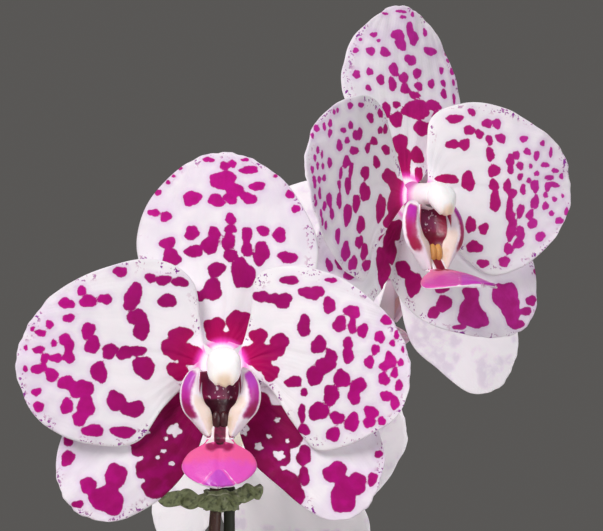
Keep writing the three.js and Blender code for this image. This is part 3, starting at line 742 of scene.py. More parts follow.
@dataclass(frozen=True)
class RootFinish:
    """Silvery root skin with green showing through and a fresh green tip."""

    silver: Colour = tint(186, 190, 172)
    green: Colour = tint(128, 148, 92)
    tip: Colour = tint(112, 142, 62)
    brown: Colour = tint(120, 98, 72)

    def material(self) -> bpy.types.Material:
        """Lays out the shader.

        Returns:
            The finished material.
        """
        paint = Paint("root_skin", Specular_IOR_Level=0.3)
        along = paint.level("along")
        cloud = paint.noise(5, 4)
        colour = paint.mix(cloud.step(0.5, 0.72), self.silver, self.green)
        colour = paint.mix(paint.noise(2.2, 4).step(0.6, 0.75) * 0.6, colour, self.brown)
        colour = paint.mix(along.step(0.93, 0.975), colour, self.tip)
        relief = paint.noise(0.8, 3) + cloud * 0.5
        return paint.finish(colour, along.step(0.93, 0.98, 0.8, 0.35), relief, 0.16)


@dataclass(frozen=True)
class StemFinish:
    """A smooth stalk with a cloudy skin, fine specks and a second colour that comes in along it."""

    name: str
    near: Colour
    far: Colour
    speck: Colour
    amount: float = 0.5

    def material(self) -> bpy.types.Material:
        """Lays out the shader.

        Returns:
            The finished material.
        """
        paint = Paint(self.name, Subsurface_Weight=0.06, Subsurface_Scale=0.001)
        along = paint.level("along")
        cloud = paint.noise(4, 3)
        colour = paint.mix((along + (cloud - 0.5) * 0.5).step(0.2, 0.8), self.near, self.far)
        fleck = paint.noise(0.7, 3).step(0.52, 0.7)
        colour = paint.mix(fleck * self.amount, colour, self.speck)
        relief = paint.noise(0.5, 2) * 0.5 + paint.noise(1.6, 2, (2.0, 2.0, 0.3))
        return paint.finish(colour, cloud.step(0.2, 0.8, 0.38, 0.55), relief, 0.06)


@dataclass(frozen=True)
class TepalFinish:
    """White petal flesh with blotches that run from crimson at the middle to purple outside.

    It glows as painted light: its colours shine by themselves near the column and faintly on its back,
    standing in for light let through the petals, and a painted white and pink glow covers its middle.
    """

    name: str
    heart: Colour
    inner: Colour
    outer: Colour
    dark: Colour
    white: Colour = tint(246, 240, 246)
    lilac: Colour = tint(226, 200, 232)
    violet: Colour = tint(132, 44, 158)
    shade: Colour = tint(236, 234, 240)
    # The colours of the painted glow round the column.
    painted_glow_pink: Colour = tint(240, 70, 196)
    painted_glow_white: Colour = tint(255, 250, 255)

    def material(self) -> bpy.types.Material:
        """Lays out the shader.

        Returns:
            The finished material.
        """
        # Its emission is painted light: a glow of its own colours near the column and on its back.
        paint = Paint(self.name, Specular_IOR_Level=0.12, Subsurface_Weight=0.1, Subsurface_Scale=0.001,
                      Subsurface_Radius=(1.0, 0.55, 0.75), Emission_Strength=0.42)
        blotch = paint.level("blotch")
        reach = paint.level("reach")
        rim = paint.level("rim")
        front = paint.level("front")
        across = paint.level("across")
        wash = paint.level("wash")
        flesh = paint.noise(7, 3)
        fine = paint.noise(0.9, 3) - 0.5
        edge = blotch + fine * 0.55
        spot = edge.step(0.14, -0.14)
        clusters = paint.noise(5, 1).step(0.46, 0.58) * rim.step(4.2, 1.2) * rim.step(0.15, 0.6)
        grains = paint.noise(0.75, 2).step(0.585, 0.62)
        streaks = paint.noise(1.3, 1).step(0.62, 0.65)
        dot = grains.over(streaks) * clusters * edge.step(0.2, 0.6)
        spot = spot.over(dot)
        ground = paint.mix(flesh.step(0.3, 0.7) * 0.6, self.white, self.shade)
        near_spot = edge.step(1.5, 0.0)
        ground = paint.mix(near_spot * reach.step(0.25, 0.8, 0.2, 0.6), ground, self.lilac)
        ground = paint.mix(reach.step(0.5, 1.0) * flesh.step(0.2, 0.7) * 0.5, ground, self.lilac)
        colour = paint.mix(reach.step(0.14, 0.42), self.heart, self.inner)
        colour = paint.mix(reach.step(0.42, 0.82), colour, self.outer)
        colour = paint.mix(wash * paint.noise(3.6, 3).step(0.36, 0.6, 0.45, 1.0), colour, self.dark)
        colour = paint.mix(paint.noise(2.2, 2).step(0.35, 0.7) * 0.2, colour, self.dark)
        colour = paint.mix(edge.step(-0.1, -1.4) * 0.12, colour, self.heart)
        colour = paint.mix(dot * 0.8, colour, self.violet)
        face = paint.mix(spot, ground, colour)
        # Painted glow round the column: pink at its rim, white in its middle.
        face = paint.mix(reach.step(0.15, 0.105) * 0.9, face, self.painted_glow_pink)
        face = paint.mix(reach.step(0.122, 0.085), face, self.painted_glow_white)
        back = paint.mix(flesh.step(0.35, 0.7) * 0.5, self.white, self.shade)
        ghost = edge.step(0.7, -0.9) * paint.noise(3.2, 3).step(0.3, 0.6)
        back = paint.mix(ghost * 0.2, back, self.violet)
        veins = (across * 118.0).sine().step(-1.0, 1.0)
        relief = veins * 0.12 + paint.noise(0.55, 2) * 0.4 + flesh * 0.7
        skin = paint.mix(front, back, face)
        # How strongly the painted glow shows: strong near the column, faint on the back.
        painted_glow_amount = reach.step(0.24, 0.08).over((1.0 - front) * 0.4)
        paint.feed("Emission Color", paint.mix(painted_glow_amount, paint.BLACK, skin))
        return paint.finish(skin, flesh.step(0.2, 0.8, 0.5, 0.62), relief, 0.07)


@dataclass(frozen=True)
class LipFinish:
    """The lip's waxy flesh: white and cream, banded with magenta, crimson and violet.

    Its throat and the channel below it are darkened with painted shade, and a painted sheen with glints lies
    in the throat.
    """

    name: str
    pink: Colour
    coral: Colour
    ochre: Colour
    # dark is painted shade, for the deep throat and the channel.
    dark: Colour
    magenta: Colour = tint(192, 40, 162)
    crimson: Colour = tint(156, 10, 84)
    violet: Colour = tint(190, 70, 200)
    cream: Colour = tint(244, 222, 212)
    white: Colour = tint(252, 240, 250)
    yellow: Colour = tint(226, 192, 152)
    # mauve is a painted reflection: the sheen in the upper throat.
    mauve: Colour = tint(132, 44, 88)

    def material(self) -> bpy.types.Material:
        """Lays out the shader.

        Returns:
            The finished material.
        """
        paint = Paint(self.name, Specular_IOR_Level=0.5, Subsurface_Weight=0.1, Subsurface_Scale=0.001,
                      Coat_Roughness=0.3)
        wobble = (paint.noise(1.3, 3) - 0.5) * 0.45
        cloud = paint.noise(2.0, 3)
        body = paint.mix((paint.level("coral") + wobble).step(0.2, 0.8), self.pink, self.coral)
        layers = (
            ("cream", 1.0, 0.3, 0.7, 1.0, self.cream),
            ("yellow", 1.0, 0.3, 0.8, 1.0, self.yellow),
            ("pink", 1.0, 0.35, 0.65, 1.0, body),
            ("magenta", 1.4, 0.1, 0.9, 1.0, self.magenta),
            ("crimson", 1.0, 0.2, 0.85, 1.0, self.crimson),
            ("violet", 0.5, 0.2, 0.8, 0.75, self.violet),
            ("ochre", 1.0, 0.35, 0.65, 1.0, self.ochre),
            ("dark", 1.0, 0.3, 0.7, 1.0, self.dark),
        )
        colour = self.white
        for part, unevenness, low, high, strength, layer in layers:
            share = (paint.level(part) + wobble * unevenness).step(low, high, 0.0, strength)
            colour = paint.mix(share, colour, layer)
        # The painted sheen in the upper throat.
        painted_sheen = paint.level("mauve")
        colour = paint.mix(painted_sheen.step(0.1, 0.9), colour, self.mauve)
        # White flecks in the sheen are painted glints.
        fleck = (paint.noise(1.1, 2) + wobble * 0.2).step(0.62, 0.67)
        colour = paint.mix(fleck * painted_sheen.step(0.2, 0.5) * 0.8, colour, self.white)
        relief = paint.noise(0.6, 2) * 0.6 + cloud
        return paint.finish(colour, cloud.step(0.2, 0.8, 0.3, 0.46), relief, 0.1)


@dataclass(frozen=True)
class ColumnFinish:
    """The column: white and waxy, blushed at its base, with buff low on its cap, a painted glow and painted
    shade in its hollow.
    """

    white: Colour = tint(254, 252, 254)
    blush: Colour = tint(232, 96, 200)
    buff: Colour = tint(238, 212, 186)
    brown: Colour = tint(188, 150, 118)
    # dark is the painted shade of the hollow under the cap.
    dark: Colour = tint(84, 26, 44)

    def material(self) -> bpy.types.Material:
        """Lays out the shader.

        Returns:
            The finished material.
        """
        # Its emission is painted light: the whole column glows a little, white, and buff on its cap.
        paint = Paint("column_wax", Specular_IOR_Level=0.35, Subsurface_Weight=0.15, Subsurface_Scale=0.0015,
                      Emission_Strength=0.07)
        paint.feed("Emission Color", paint.mix(paint.level("cap").step(0.1, 0.9), self.white, self.buff))
        cloud = paint.noise(1.6, 3)
        colour = paint.mix(paint.level("base"), self.white, self.blush)
        colour = paint.mix(paint.level("cap").step(0.1, 1.0), colour, self.buff)
        colour = paint.mix(paint.level("groove").step(0.35, 0.9) * 0.8, colour, self.brown)
        # Painted shade in the hollow under the cap.
        colour = paint.mix(paint.level("hollow").step(0.25, 0.8), colour, self.dark)
        return paint.finish(colour, cloud.step(0.2, 0.8, 0.3, 0.42), paint.noise(0.5, 2) + cloud, 0.05)


@dataclass(frozen=True)
class StakeFinish:
    """A painted stake with faint ridges and worn specks."""

    paint_green: Colour = tint(38, 44, 28)
    worn: Colour = tint(86, 92, 66)

    def material(self) -> bpy.types.Material:
        """Lays out the shader.

        Returns:
            The finished material.
        """
        paint = Paint("stake_paint")
        worn = paint.noise(1.2, 4, (1.0, 1.0, 0.25))
        colour = paint.mix(worn.step(0.58, 0.74) * 0.6, self.paint_green, self.worn)
        relief = paint.noise(0.7, 2) + paint.noise(1.6, 1, (0.2, 0.2, 1.0))
        return paint.finish(colour, worn.step(0.3, 0.7, 0.42, 0.6), relief, 0.06)


@dataclass(frozen=True)
class TieFinish:
    """Crinkled olive film, with painted shade in the hollows of its crinkles and a painted glint along its
    folds.
    """

    olive: Colour = tint(146, 156, 112)
    dark: Colour = tint(74, 82, 50)
    glint: Colour = tint(214, 216, 188)

    def material(self) -> bpy.types.Material:
        """Lays out the shader.

        Returns:
            The finished material.
        """
        paint = Paint("tie_film", Specular_IOR_Level=0.6, Coat_Roughness=0.2)
        fold = paint.noise(1.4, 4)
        # Painted shade: darker where the crinkles' relief is low.
        colour = paint.mix(fold.step(0.3, 0.55), self.dark, self.olive)
        colour = paint.mix(paint.level("ridge").step(0.6, 0.95) * 0.7, colour, self.glint)
        colour = paint.mix(paint.noise(2.6, 2).step(0.64, 0.74) * 0.6, colour, self.glint)
        return paint.finish(colour, fold.step(0.3, 0.7, 0.28, 0.55), fold + paint.noise(0.6, 2) * 0.6, 0.5)


@dataclass(frozen=True)
class MossFinish:
    """Dry and fresh strands of moss."""

    fresh: Colour = tint(128, 142, 66)
    dry: Colour = tint(186, 172, 116)

    def material(self) -> bpy.types.Material:
        """Lays out the shader.

        Returns:
            The finished material.
        """
        paint = Paint("moss_strand", Specular_IOR_Level=0.2)
        colour = paint.mix(paint.level("tone").step(0.2, 0.8), self.fresh, self.dry)
        colour = paint.mix(paint.noise(1.5, 2).step(0.4, 0.7) * 0.4, colour, self.dry)
        return paint.finish(colour, 0.85, paint.noise(0.4, 2), 0.05)


# Pot, bark and what stands in it


@dataclass
class Pot:
    """The terracotta pot: a tapered body under a deeper rim, with drain holes through its floor."""

    height: float = 115
    base_radius: float = 46
    body_radius: float = 61
    rim_radius: float = 67
    rim_height: float = 24
    wall: float = 4.5
    floor: float = 7
    lip_round: float = 1.5
    drains: int = 4
    drain_radius: float = 4.5
    drain_ring: float = 25
    drain_sides: int = 28
    drill_margin: float = 2
    sides: int = 144
    crease_angle: float = 50

    def inner_radius(self, height: float) -> float:
        """The radius of the inside at a height."""
        return lerp(self.base_radius, self.body_radius, height / self.height) - self.wall

    def _round(self, middle: Point, start: float, end: float, steps: int = 6) -> list[Point]:
        """Points of a rounded corner.

        Args:
            middle: Radius and height of its middle.
            start: Its first direction in degrees.
            end: Its last direction in degrees.
            steps: How many steps it is cut into.

        Returns:
            Pairs of radius and height.
        """
        angles = np.radians(np.linspace(start, end, steps))
        return [(middle[0] + self.lip_round * math.cos(a), middle[1] + self.lip_round * math.sin(a))
                for a in angles]

    def profile(self) -> list[Point]:
        """The pot's outline, from the middle of its underside round to the middle of its floor.

        Returns:
            Pairs of radius and height.
        """
        shoulder = self.height - self.rim_height
        r = self.lip_round
        body = [(lerp(self.base_radius, self.body_radius, z / shoulder), z)
                for z in np.linspace(r, shoulder - 0.8, 30)]
        rim = [(self.rim_radius - 0.35 * math.sin(math.pi * s), lerp(shoulder + r, self.height - r, s))
               for s in np.linspace(0.06, 0.94, 12)]
        inside = [(self.inner_radius(z), z) for z in np.linspace(self.height - r, self.floor + 1.5, 14)]
        return [
            (0.0, 0.0),
            (self.base_radius - 2 * r, 0.0),
            *self._round((self.base_radius - r, r), -90, -5),
            *body,
            (self.body_radius + 0.9, shoulder),
            (self.rim_radius - 2 * r, shoulder),
            *self._round((self.rim_radius - r - 0.4, shoulder + r), -90, 0),
            *rim,
            *self._round((self.rim_radius - r, self.height - r), 0, 90),
            *self._round((self.inner_radius(self.height) + r, self.height - r), 90, 180),
            *inside[1:],
            (self.inner_radius(self.floor) - 1.2, self.floor),
            (0.0, self.floor),
        ]

    def dress(self) -> None:
        """Builds the pot, drills its drains and finishes it."""
        profile = self.profile()
        height = np.array([z for _, z in profile[1:-1]]) / self.height
        form = Form().turned(profile, self.sides, values={"height": height})
        pot = set_out(form, "pot_shell", TerracottaFinish().material(), ["pot"])
        drill_form = Form()
        for k in range(self.drains):
            a = 2 * math.pi * (k + 0.5) / self.drains
            place = (self.drain_ring * math.cos(a), self.drain_ring * math.sin(a))
            low, high = -self.drill_margin, self.floor + self.drill_margin
            shape = [(0, low), (self.drain_radius, low), (self.drain_radius, high), (0, high)]
            drill_form.turned(shape, self.drain_sides, place)
        drill = drill_form.build("drain_drill")
        cut = pot.modifiers.new("drains", "BOOLEAN")
        cut.operation = "DIFFERENCE"
        cut.object = drill
        settle(pot)
        bpy.data.objects.remove(drill)
        pot.data.shade_smooth()
        pot.data.set_sharp_from_angle(angle=math.radians(self.crease_angle))


def settle(piece: bpy.types.Object) -> None:
    """Applies a piece's modifiers to its mesh.

    Args:
        piece: The piece that has them.
    """
    graph = bpy.context.evaluated_depsgraph_get()
    mesh = bpy.data.meshes.new_from_object(piece.evaluated_get(graph))
    piece.modifiers.clear()
    piece.data = mesh


@dataclass
class Bark:
    """The bark filling: a plug with loose chips over its top and a few strands of moss."""

    pot: Pot
    top: float = 94
    sunk: float = 3
    layers: Sequence[tuple[int, float, float]] = ((70, -1.5, 1.0), (80, 1.5, 0.95), (46, 4.0, 0.8))
    chip: Point = (17, 11, 5.5)
    stray: float = 0.35
    seed: int = 11
    tufts: int = 15
    strands: int = 13
    wall_gap: float = 0.35
    corner: float = 0.42
    crown_room: float = 15
    stake_room: float = 7
    strand_radius: float = 0.34

    def _chip(self, form: Form, middle: Point, size: float, draw: np.random.Generator) -> None:
        """Adds one chip.

        Args:
            form: The form that takes it.
            middle: Where it lies.
            size: A factor on its size.
            draw: The source of its chance shape.
        """
        angle = np.linspace(0, 2 * math.pi, 14, endpoint=False)
        angle = angle + draw.uniform(-0.12, 0.12, angle.shape)
        round_x, round_y = squared(np.cos(angle), self.corner), squared(np.sin(angle), self.corner)
        rough = 1 + draw.uniform(-0.14, 0.1, angle.shape)
        levels = np.array([-1.0, -0.8, 0.75, 1.0])
        shrink = np.array([0.8, 1.0, 0.97, 0.78])
        half = np.array(self.chip) / 2 * size * draw.uniform(1 - self.stray, 1 + self.stray, 3)
        bow = draw.uniform(-0.12, 0.12)
        x = half[0] * round_x[None] * rough * shrink[:, None]
        y = half[1] * round_y[None] * rough * shrink[:, None]
        z = half[2] * levels[:, None] + bow * x + draw.uniform(-0.35, 0.35, x.shape)
        z = z - 0.02 * x * x / half[0] * draw.uniform(0, 4)
        rings = np.stack([x, y, z], -1)
        tilt = draw.uniform(-0.45, 0.45, 2)
        spin = draw.uniform(0, 2 * math.pi)
        turn = rotation((1, 0, 0), tilt[0]) @ rotation((0, 1, 0), tilt[1])
        turn = rotation((0, 0, 1), spin) @ turn
        rings = rings @ turn.T + np.asarray(middle)
        form.loft(rings, rings[0].mean(axis=0), rings[-1].mean(axis=0), {"tone": np.full(4, draw.random())})

    def dress(self, crown: Point, stake: Point) -> None:
        """Builds the filling and its moss.

        Args:
            crown: Where the crown stands.
            stake: Where the stake stands.
        """
        draw = np.random.default_rng(self.seed)
        form = Form()
        bottom = self.pot.floor + self.wall_gap
        level = self.top - self.sunk
        side = self.pot.inner_radius(level) - self.wall_gap
        foot = self.pot.inner_radius(bottom) - self.wall_gap
        form.turned([(0, bottom), (foot, bottom), (side, level), (0, level)], 72,
                    values={"tone": np.array([0.1, 0.1])})
        for count, lift, size in self.layers:
            for k in range(count):
                reach = (side - 7.5 * size) * math.sqrt((k + 0.5) / count)
                a = k * GOLDEN_ANGLE + lift
                x, y = reach * math.cos(a), reach * math.sin(a)
                if math.dist((x, y), crown) < self.crown_room or math.dist((x, y), stake) < self.stake_room:
                    continue
                self._chip(form, (x, y, self.top + lift + draw.uniform(-0.8, 0.8)), size, draw)
        set_out(form, "bark_chips", BarkFinish().material(), ["bark_medium"], smooth=False)
        moss = Form()
        for k in range(self.tufts):
            reach = lerp(16, side - 10, ((k * 7) % self.tufts) / self.tufts)
            a = k * GOLDEN_ANGLE + 1
            root = np.array([reach * math.cos(a), reach * math.sin(a) + 4, self.top + 3.5])
            for _ in range(self.strands):
                lean = draw.uniform(-1, 1, 2)
                tip = root + np.array([lean[0] * 7, lean[1] * 7, draw.uniform(1.5, 5)])
                bend = lerp(root, tip, 0.5) + np.array([0, 0, draw.uniform(0.5, 3)])
                start = root + np.append(draw.uniform(-2, 2, 2), -1)
                moss.tube(Course([start, bend, tip], 6), lambda t: self.strand_radius * (1 - 0.7 * t), 4, 6,
                          {"tone": np.full(6, draw.random())})
        set_out(moss, "moss_tufts", MossFinish().material())


def rotation(axis: Point, angle: float) -> Array:
    """The matrix of a turn about an axis.

    Args:
        axis: The axis.
        angle: The turn in radians.

    Returns:
        A matrix of three rows.
    """
    x, y, z = unit(np.asarray(axis, float))
    cross = np.array([[0, -z, y], [z, 0, -x], [-y, x, 0]])
    return np.eye(3) + math.sin(angle) * cross + (1 - math.cos(angle)) * cross @ cross


@dataclass
class Leaf:
    """One leathery leaf, folded at its foot, with a groove along its middle and a round tip."""

    azimuth: float
    base: float
    length: float
    width: float
    rise: float
    droop: float
    thickness: float = 2.6
    edge: float = 1.1
    foot_width: float = 0.36
    fold: float = 0.5
    channel: float = 0.16
    roll_over: float = 0.1
    stations: int = 12
    rows: int = 96
    columns: int = 41

    def half_width(self, t: Array) -> Array:
        """Half the leaf's width along it, as a share of its greatest."""
        place = np.abs(2 * t**0.8 - 1)
        return np.sqrt(1 - place**2.6) * lerp(self.foot_width, 1.0, ease(t, 0.0, self.foot_width))

    def form(self, crown: Point, crown_radius: float) -> Form:
        """The leaf's mesh.

        Args:
            crown: Where the crown stands.
            crown_radius: Its radius.

        Returns:
            The form.
        """
        a = math.radians(self.azimuth)
        out = np.array([math.cos(a), math.sin(a), 0.0])
        across = np.array([-out[1], out[0], 0.0])
        up = np.array([0.0, 0.0, 1.0])
        gap = 0.6 + 0.016 * min(self.rise, 60)
        station = np.sin(math.pi / 2 * np.arange(self.stations) / (self.stations - 1))
        slope = np.radians(lerp(self.rise, -self.droop, station**0.85))
        along = np.cos(slope)[:, None] * out + np.sin(slope)[:, None] * up
        strides = along[:-1] * self.length * np.diff(station)[:, None]
        foot = np.array([crown[0], crown[1], self.base]) + out * (crown_radius + gap)
        centres = foot + np.vstack([np.zeros(3), np.cumsum(strides, axis=0)])
        place = np.linspace(0, 1, self.rows) * (self.stations - 1)
        t = np.sin(math.pi / 2 * place / (self.stations - 1))
        centre = through(centres, place)
        slope = np.radians(lerp(self.rise, -self.droop, t**0.85))[:, None]
        normal = -np.sin(slope) * out + np.cos(slope) * up
        half = (self.width / 2 * self.half_width(lerp(0.04, 0.99, t)))[:, None]
        v = np.sin(np.linspace(-1, 1, self.columns) * math.pi / 2)
        v = lerp(np.linspace(-1, 1, self.columns), v, 0.5)[None]
        t = t[:, None]
        keel = np.sqrt(v * v + 0.0016) - 0.04
        lift = half * ((self.channel + self.fold * (1 - t) ** 3) * keel - self.roll_over * v * v * t)
        lift = lift + 0.35 * np.sin(5 * t + 2 * v + self.azimuth) * t * v * v
        thick = lerp(self.thickness, self.edge, v * v) * lerp(1.15, 0.75, t) * np.sqrt(1.02 - v**8)
        groove = 0.45 * np.exp(-((v / 0.045) ** 2)) * ease(1 - t)
        middle = centre[:, None] + (half * v)[..., None] * across
        front = middle + (lift + thick / 2 - groove)[..., None] * normal[:, None]
        back = middle + (lift - thick / 2 - groove * 1.2)[..., None] * normal[:, None]
        shared = {"across": v + 0 * t, "along": t + 0 * v}
        return Form().sheet(front, back, {**shared, "front": 1.0}, {**shared, "front": 0.0})


@dataclass
class Root:
    """One aerial root, out over the rim or down into the bark."""

    azimuth: float
    over: bool
    reach: float
    radius: float = 2.6
    height: float = 104

    def course(self, crown: Point, crown_radius: float, pot: Pot, bark_top: float) -> Course:
        """The root's route.

        Args:
            crown: Where the crown stands.
            crown_radius: Its radius.
            pot: The pot.
            bark_top: The height of the bark.

        Returns:
            The route.
        """

        def at(r: float, z: float, swing: float = 0.0) -> Point:
            """A point at a distance from the crown, swung aside by some degrees."""
            turned = math.radians(self.azimuth + swing)
            return (crown[0] + r * math.cos(turned), crown[1] + r * math.sin(turned), z)

        start = at(crown_radius + CLEARANCE + END_DOME * self.radius, self.height)
        if not self.over:
            arch = [at(22, self.height + 5, 6), at(self.reach, bark_top + 6, 10)]
            return Course([start, *arch, at(self.reach + 3, bark_top - 12, 12)])
        a = math.radians(self.azimuth)
        along = crown[0] * math.cos(a) + crown[1] * math.sin(a)
        square = crown[0] ** 2 + crown[1] ** 2

        def to_pot_radius(radius: float) -> float:
            """How far from the crown the root meets a circle round the pot's axis."""
            return -along + math.sqrt(along**2 - square + radius**2)

        outside = to_pot_radius(pot.rim_radius + self.radius + 2)
        return Course([
            start,
            at(0.55 * outside, self.height + 9, 4),
            at(to_pot_radius(pot.rim_radius - 5), pot.height + self.radius + 3),
            at(outside, pot.height - 3, -2),
            at(outside + 0.4, pot.height - self.reach, 1),
        ])

    def form(self, course: Course) -> Form:
        """The root's mesh, a little knobbly along its route.

        Args:
            course: Its route.

        Returns:
            The form.
        """
        rings = 150
        turn = self.azimuth
        return Form().tube(
            course,
            lambda t: self.radius * lerp(1.0, 0.72, t * t) * 0.985,
            22,
            rings,
            {"along": np.linspace(0, 1, rings)},
            lambda t, a: 1 + 0.035 * np.sin(23 * t + turn) + 0.02 * np.sin(61 * t + 2 * a + turn),
        )


@dataclass
class Crown:
    """The short stem that leaves and roots spring from, ringed by old leaf bases."""

    x: float = 0
    y: float = 14
    bottom: float = 86
    top: float = 137
    radius: float = 10
    profile: Sequence[Point] = ((0, 0.6), (0.12, 0.95), (0.5, 1), (0.8, 0.88), (1, 0.5))
    leaves: Sequence[Leaf] = (
        Leaf(4, 108, 186, 70, 17, 40),
        Leaf(183, 112, 198, 74, 24, 44),
        Leaf(357, 119, 176, 66, 46, 30),
        Leaf(169, 125, 158, 60, 60, 22),
        Leaf(8, 128, 112, 44, 88, 6),
    )
    roots: Sequence[Root] = (
        Root(248, True, 25),
        Root(312, True, 52),
        Root(96, True, 38),
        Root(203, False, 34),
        Root(60, False, 30),
    )

    def dress(self, pot: Pot, bark_top: float) -> None:
        """Builds the crown with its leaves and roots.

        Args:
            pot: The pot.
            bark_top: The height of the bark.
        """
        place = (self.x, self.y)
        share = np.linspace(0, 1, 60)
        rows = np.asarray(self.profile, float)
        size = self.radius * np.interp(share, rows[:, 0], rows[:, 1])
        size = size * (1 - 0.035 * np.abs(np.sin(share * math.pi * 7)) ** 6)
        outline = [(0, self.bottom), *zip(size, lerp(self.bottom, self.top, share)), (0, self.top + 1.2)]
        form = Form().turned(outline, 48, place, {"along": share})
        skin = StemFinish("crown_skin", near=tint(108, 96, 62), far=tint(124, 142, 74),
                          speck=tint(150, 132, 92))
        set_out(form, "crown_stem", skin.material(), ["crown"])
        leaf_skin = LeafFinish().material()
        for k, leaf in enumerate(self.leaves, 1):
            set_out(leaf.form(place, self.radius), f"leaf_blade_{k}", leaf_skin, [f"leaf_{k}"])
        root_skin = RootFinish().material()
        for k, root in enumerate(self.roots, 1):
            course = root.course(place, self.radius, pot, bark_top)
            set_out(root.form(course), f"aerial_root_{k}", root_skin, [f"root_{k}"])


# The spike, its stake and tie


@dataclass
class Spike:
    """The flower spike: a stem with swollen nodes, and a bract at each."""

    nodes_of_blooms: Sequence[float]
    route: Sequence[Point] = (
        (-2.6, 0.6, 109),
        (-3.1, -1.6, 134),
        (-2.9, 0, 175),
        (-2.7, 0, 250),
        (-2.6, 0, 350),
        (-2.3, 0, 416),
        (1.4, 3.4, 438),
        (14, 6, 457),
        (28.4, 15.4, 470),
        (40, 34, 481),
        (50, 45, 495),
        (56, 49, 509),
    )
    bare_nodes: Sequence[float] = (0.14, 0.3, 0.46, 0.6)
    base_radius: float = 2.6
    top_radius: float = 1.1
    swelling: float = 0.2
    node_length: float = 0.012
    bract_length: float = 9
    bract_width: float = 6.5
    bract_thickness: float = 0.8
    flare: float = 0.9
    wrap: float = 1.1
    bract_below: float = 0.019

    def __post_init__(self) -> None:
        """Lays out the route."""
        self.course = Course(self.route)

    def radius(self, t: Amount) -> Array:
        """The spike's radius, which swells at its nodes.

        Args:
            t: Shares of its length.

        Returns:
            The radius at each.
        """
        t = np.asarray(t, float)
        swell = np.zeros_like(t)
        for node in (*self.bare_nodes, *self.nodes_of_blooms):
            swell = np.maximum(swell, np.exp(-(((t - node) / self.node_length) ** 2)))
        return lerp(self.base_radius, self.top_radius, t) * (1 + self.swelling * swell)

    def leaving(self, node: float, toward: Point) -> Array:
        """The way a pedicel leaves the spike, square to it.

        Args:
            node: The share of the spike's length where it leaves.
            toward: The point it makes for.

        Returns:
            A direction.
        """
        heading = self.course.heading(node)
        way = np.asarray(toward, float) - self.course.at(node)
        return unit(way - heading * np.dot(way, heading))

    def _bract(self, form: Form, t: float, outward: Array) -> None:
        """Adds a bract that clasps the spike.

        Args:
            form: The form that takes it.
            t: Where it starts, as a share of the spike's length.
            outward: The side it stands on.
        """
        at = self.course.at(t)
        heading = self.course.heading(t)
        side = unit(outward - heading * np.dot(outward, heading))
        across = np.cross(side, heading)
        shrink = lerp(1.0, 0.6, t)
        s = np.linspace(0, 1, 16)[:, None]
        v = np.linspace(-1, 1, 13)[None]
        half = self.bract_width / 2 * shrink * (1 - 0.85 * s * s)
        out = 0.78 * float(self.radius(t)) + self.flare * s - self.wrap * shrink * v * v
        thick = self.bract_thickness / 2 * np.sqrt(1.05 - v**6) * (1 - 0.5 * s**3)
        middle = at + (s * self.bract_length * shrink)[..., None] * heading + (v * half)[..., None] * across
        front = middle + (out + thick)[..., None] * side
        back = middle + (out - thick)[..., None] * side
        tone = {"along": 1.1 - 0.3 * s + 0 * v}
        form.sheet(front, back, tone, tone)

    def dress(self, toward: Sequence[Point]) -> None:
        """Builds the spike.

        Args:
            toward: For each bloom's node, the point that its pedicel makes for.
        """
        rings = 460
        share = np.linspace(0, 1, rings)
        form = Form().tube(self.course, self.radius, 24, rings, {"along": share * 0.55})
        for k, t in enumerate(self.bare_nodes):
            self._bract(form, t, np.array([0.9 if k % 2 else -0.9, -0.5, 0.0]))
        for node, goal in zip(self.nodes_of_blooms, toward):
            self._bract(form, node - self.bract_below, self.leaving(node, goal))
        skin = StemFinish("spike_skin", near=tint(96, 66, 62), far=tint(84, 60, 52),
                          speck=tint(130, 118, 84), amount=0.45)
        set_out(form, "spike_stem", skin.material(), ["flower_spike"])


@dataclass
class Stake:
    """The support stake."""

    x: float = 1.3
    y: float = 0
    radius: float = 1.5
    bottom: float = 22
    top: float = 424

    def dress(self) -> None:
        """Builds the stake, with faint rings round it and softened ends."""
        heights = np.linspace(self.bottom + 0.5, self.top - 0.5, 300)
        sizes = self.radius * (0.985 + 0.015 * np.sin(heights * 1.1))
        low = (self.radius * 0.7, self.bottom)
        high = (self.radius * 0.7, self.top)
        outline = [(0, self.bottom), low, *zip(sizes, heights), high, (0, self.top)]
        form = Form().turned(outline, 22, (self.x, self.y))
        set_out(form, "stake_rod", StakeFinish().material(), ["stake"])


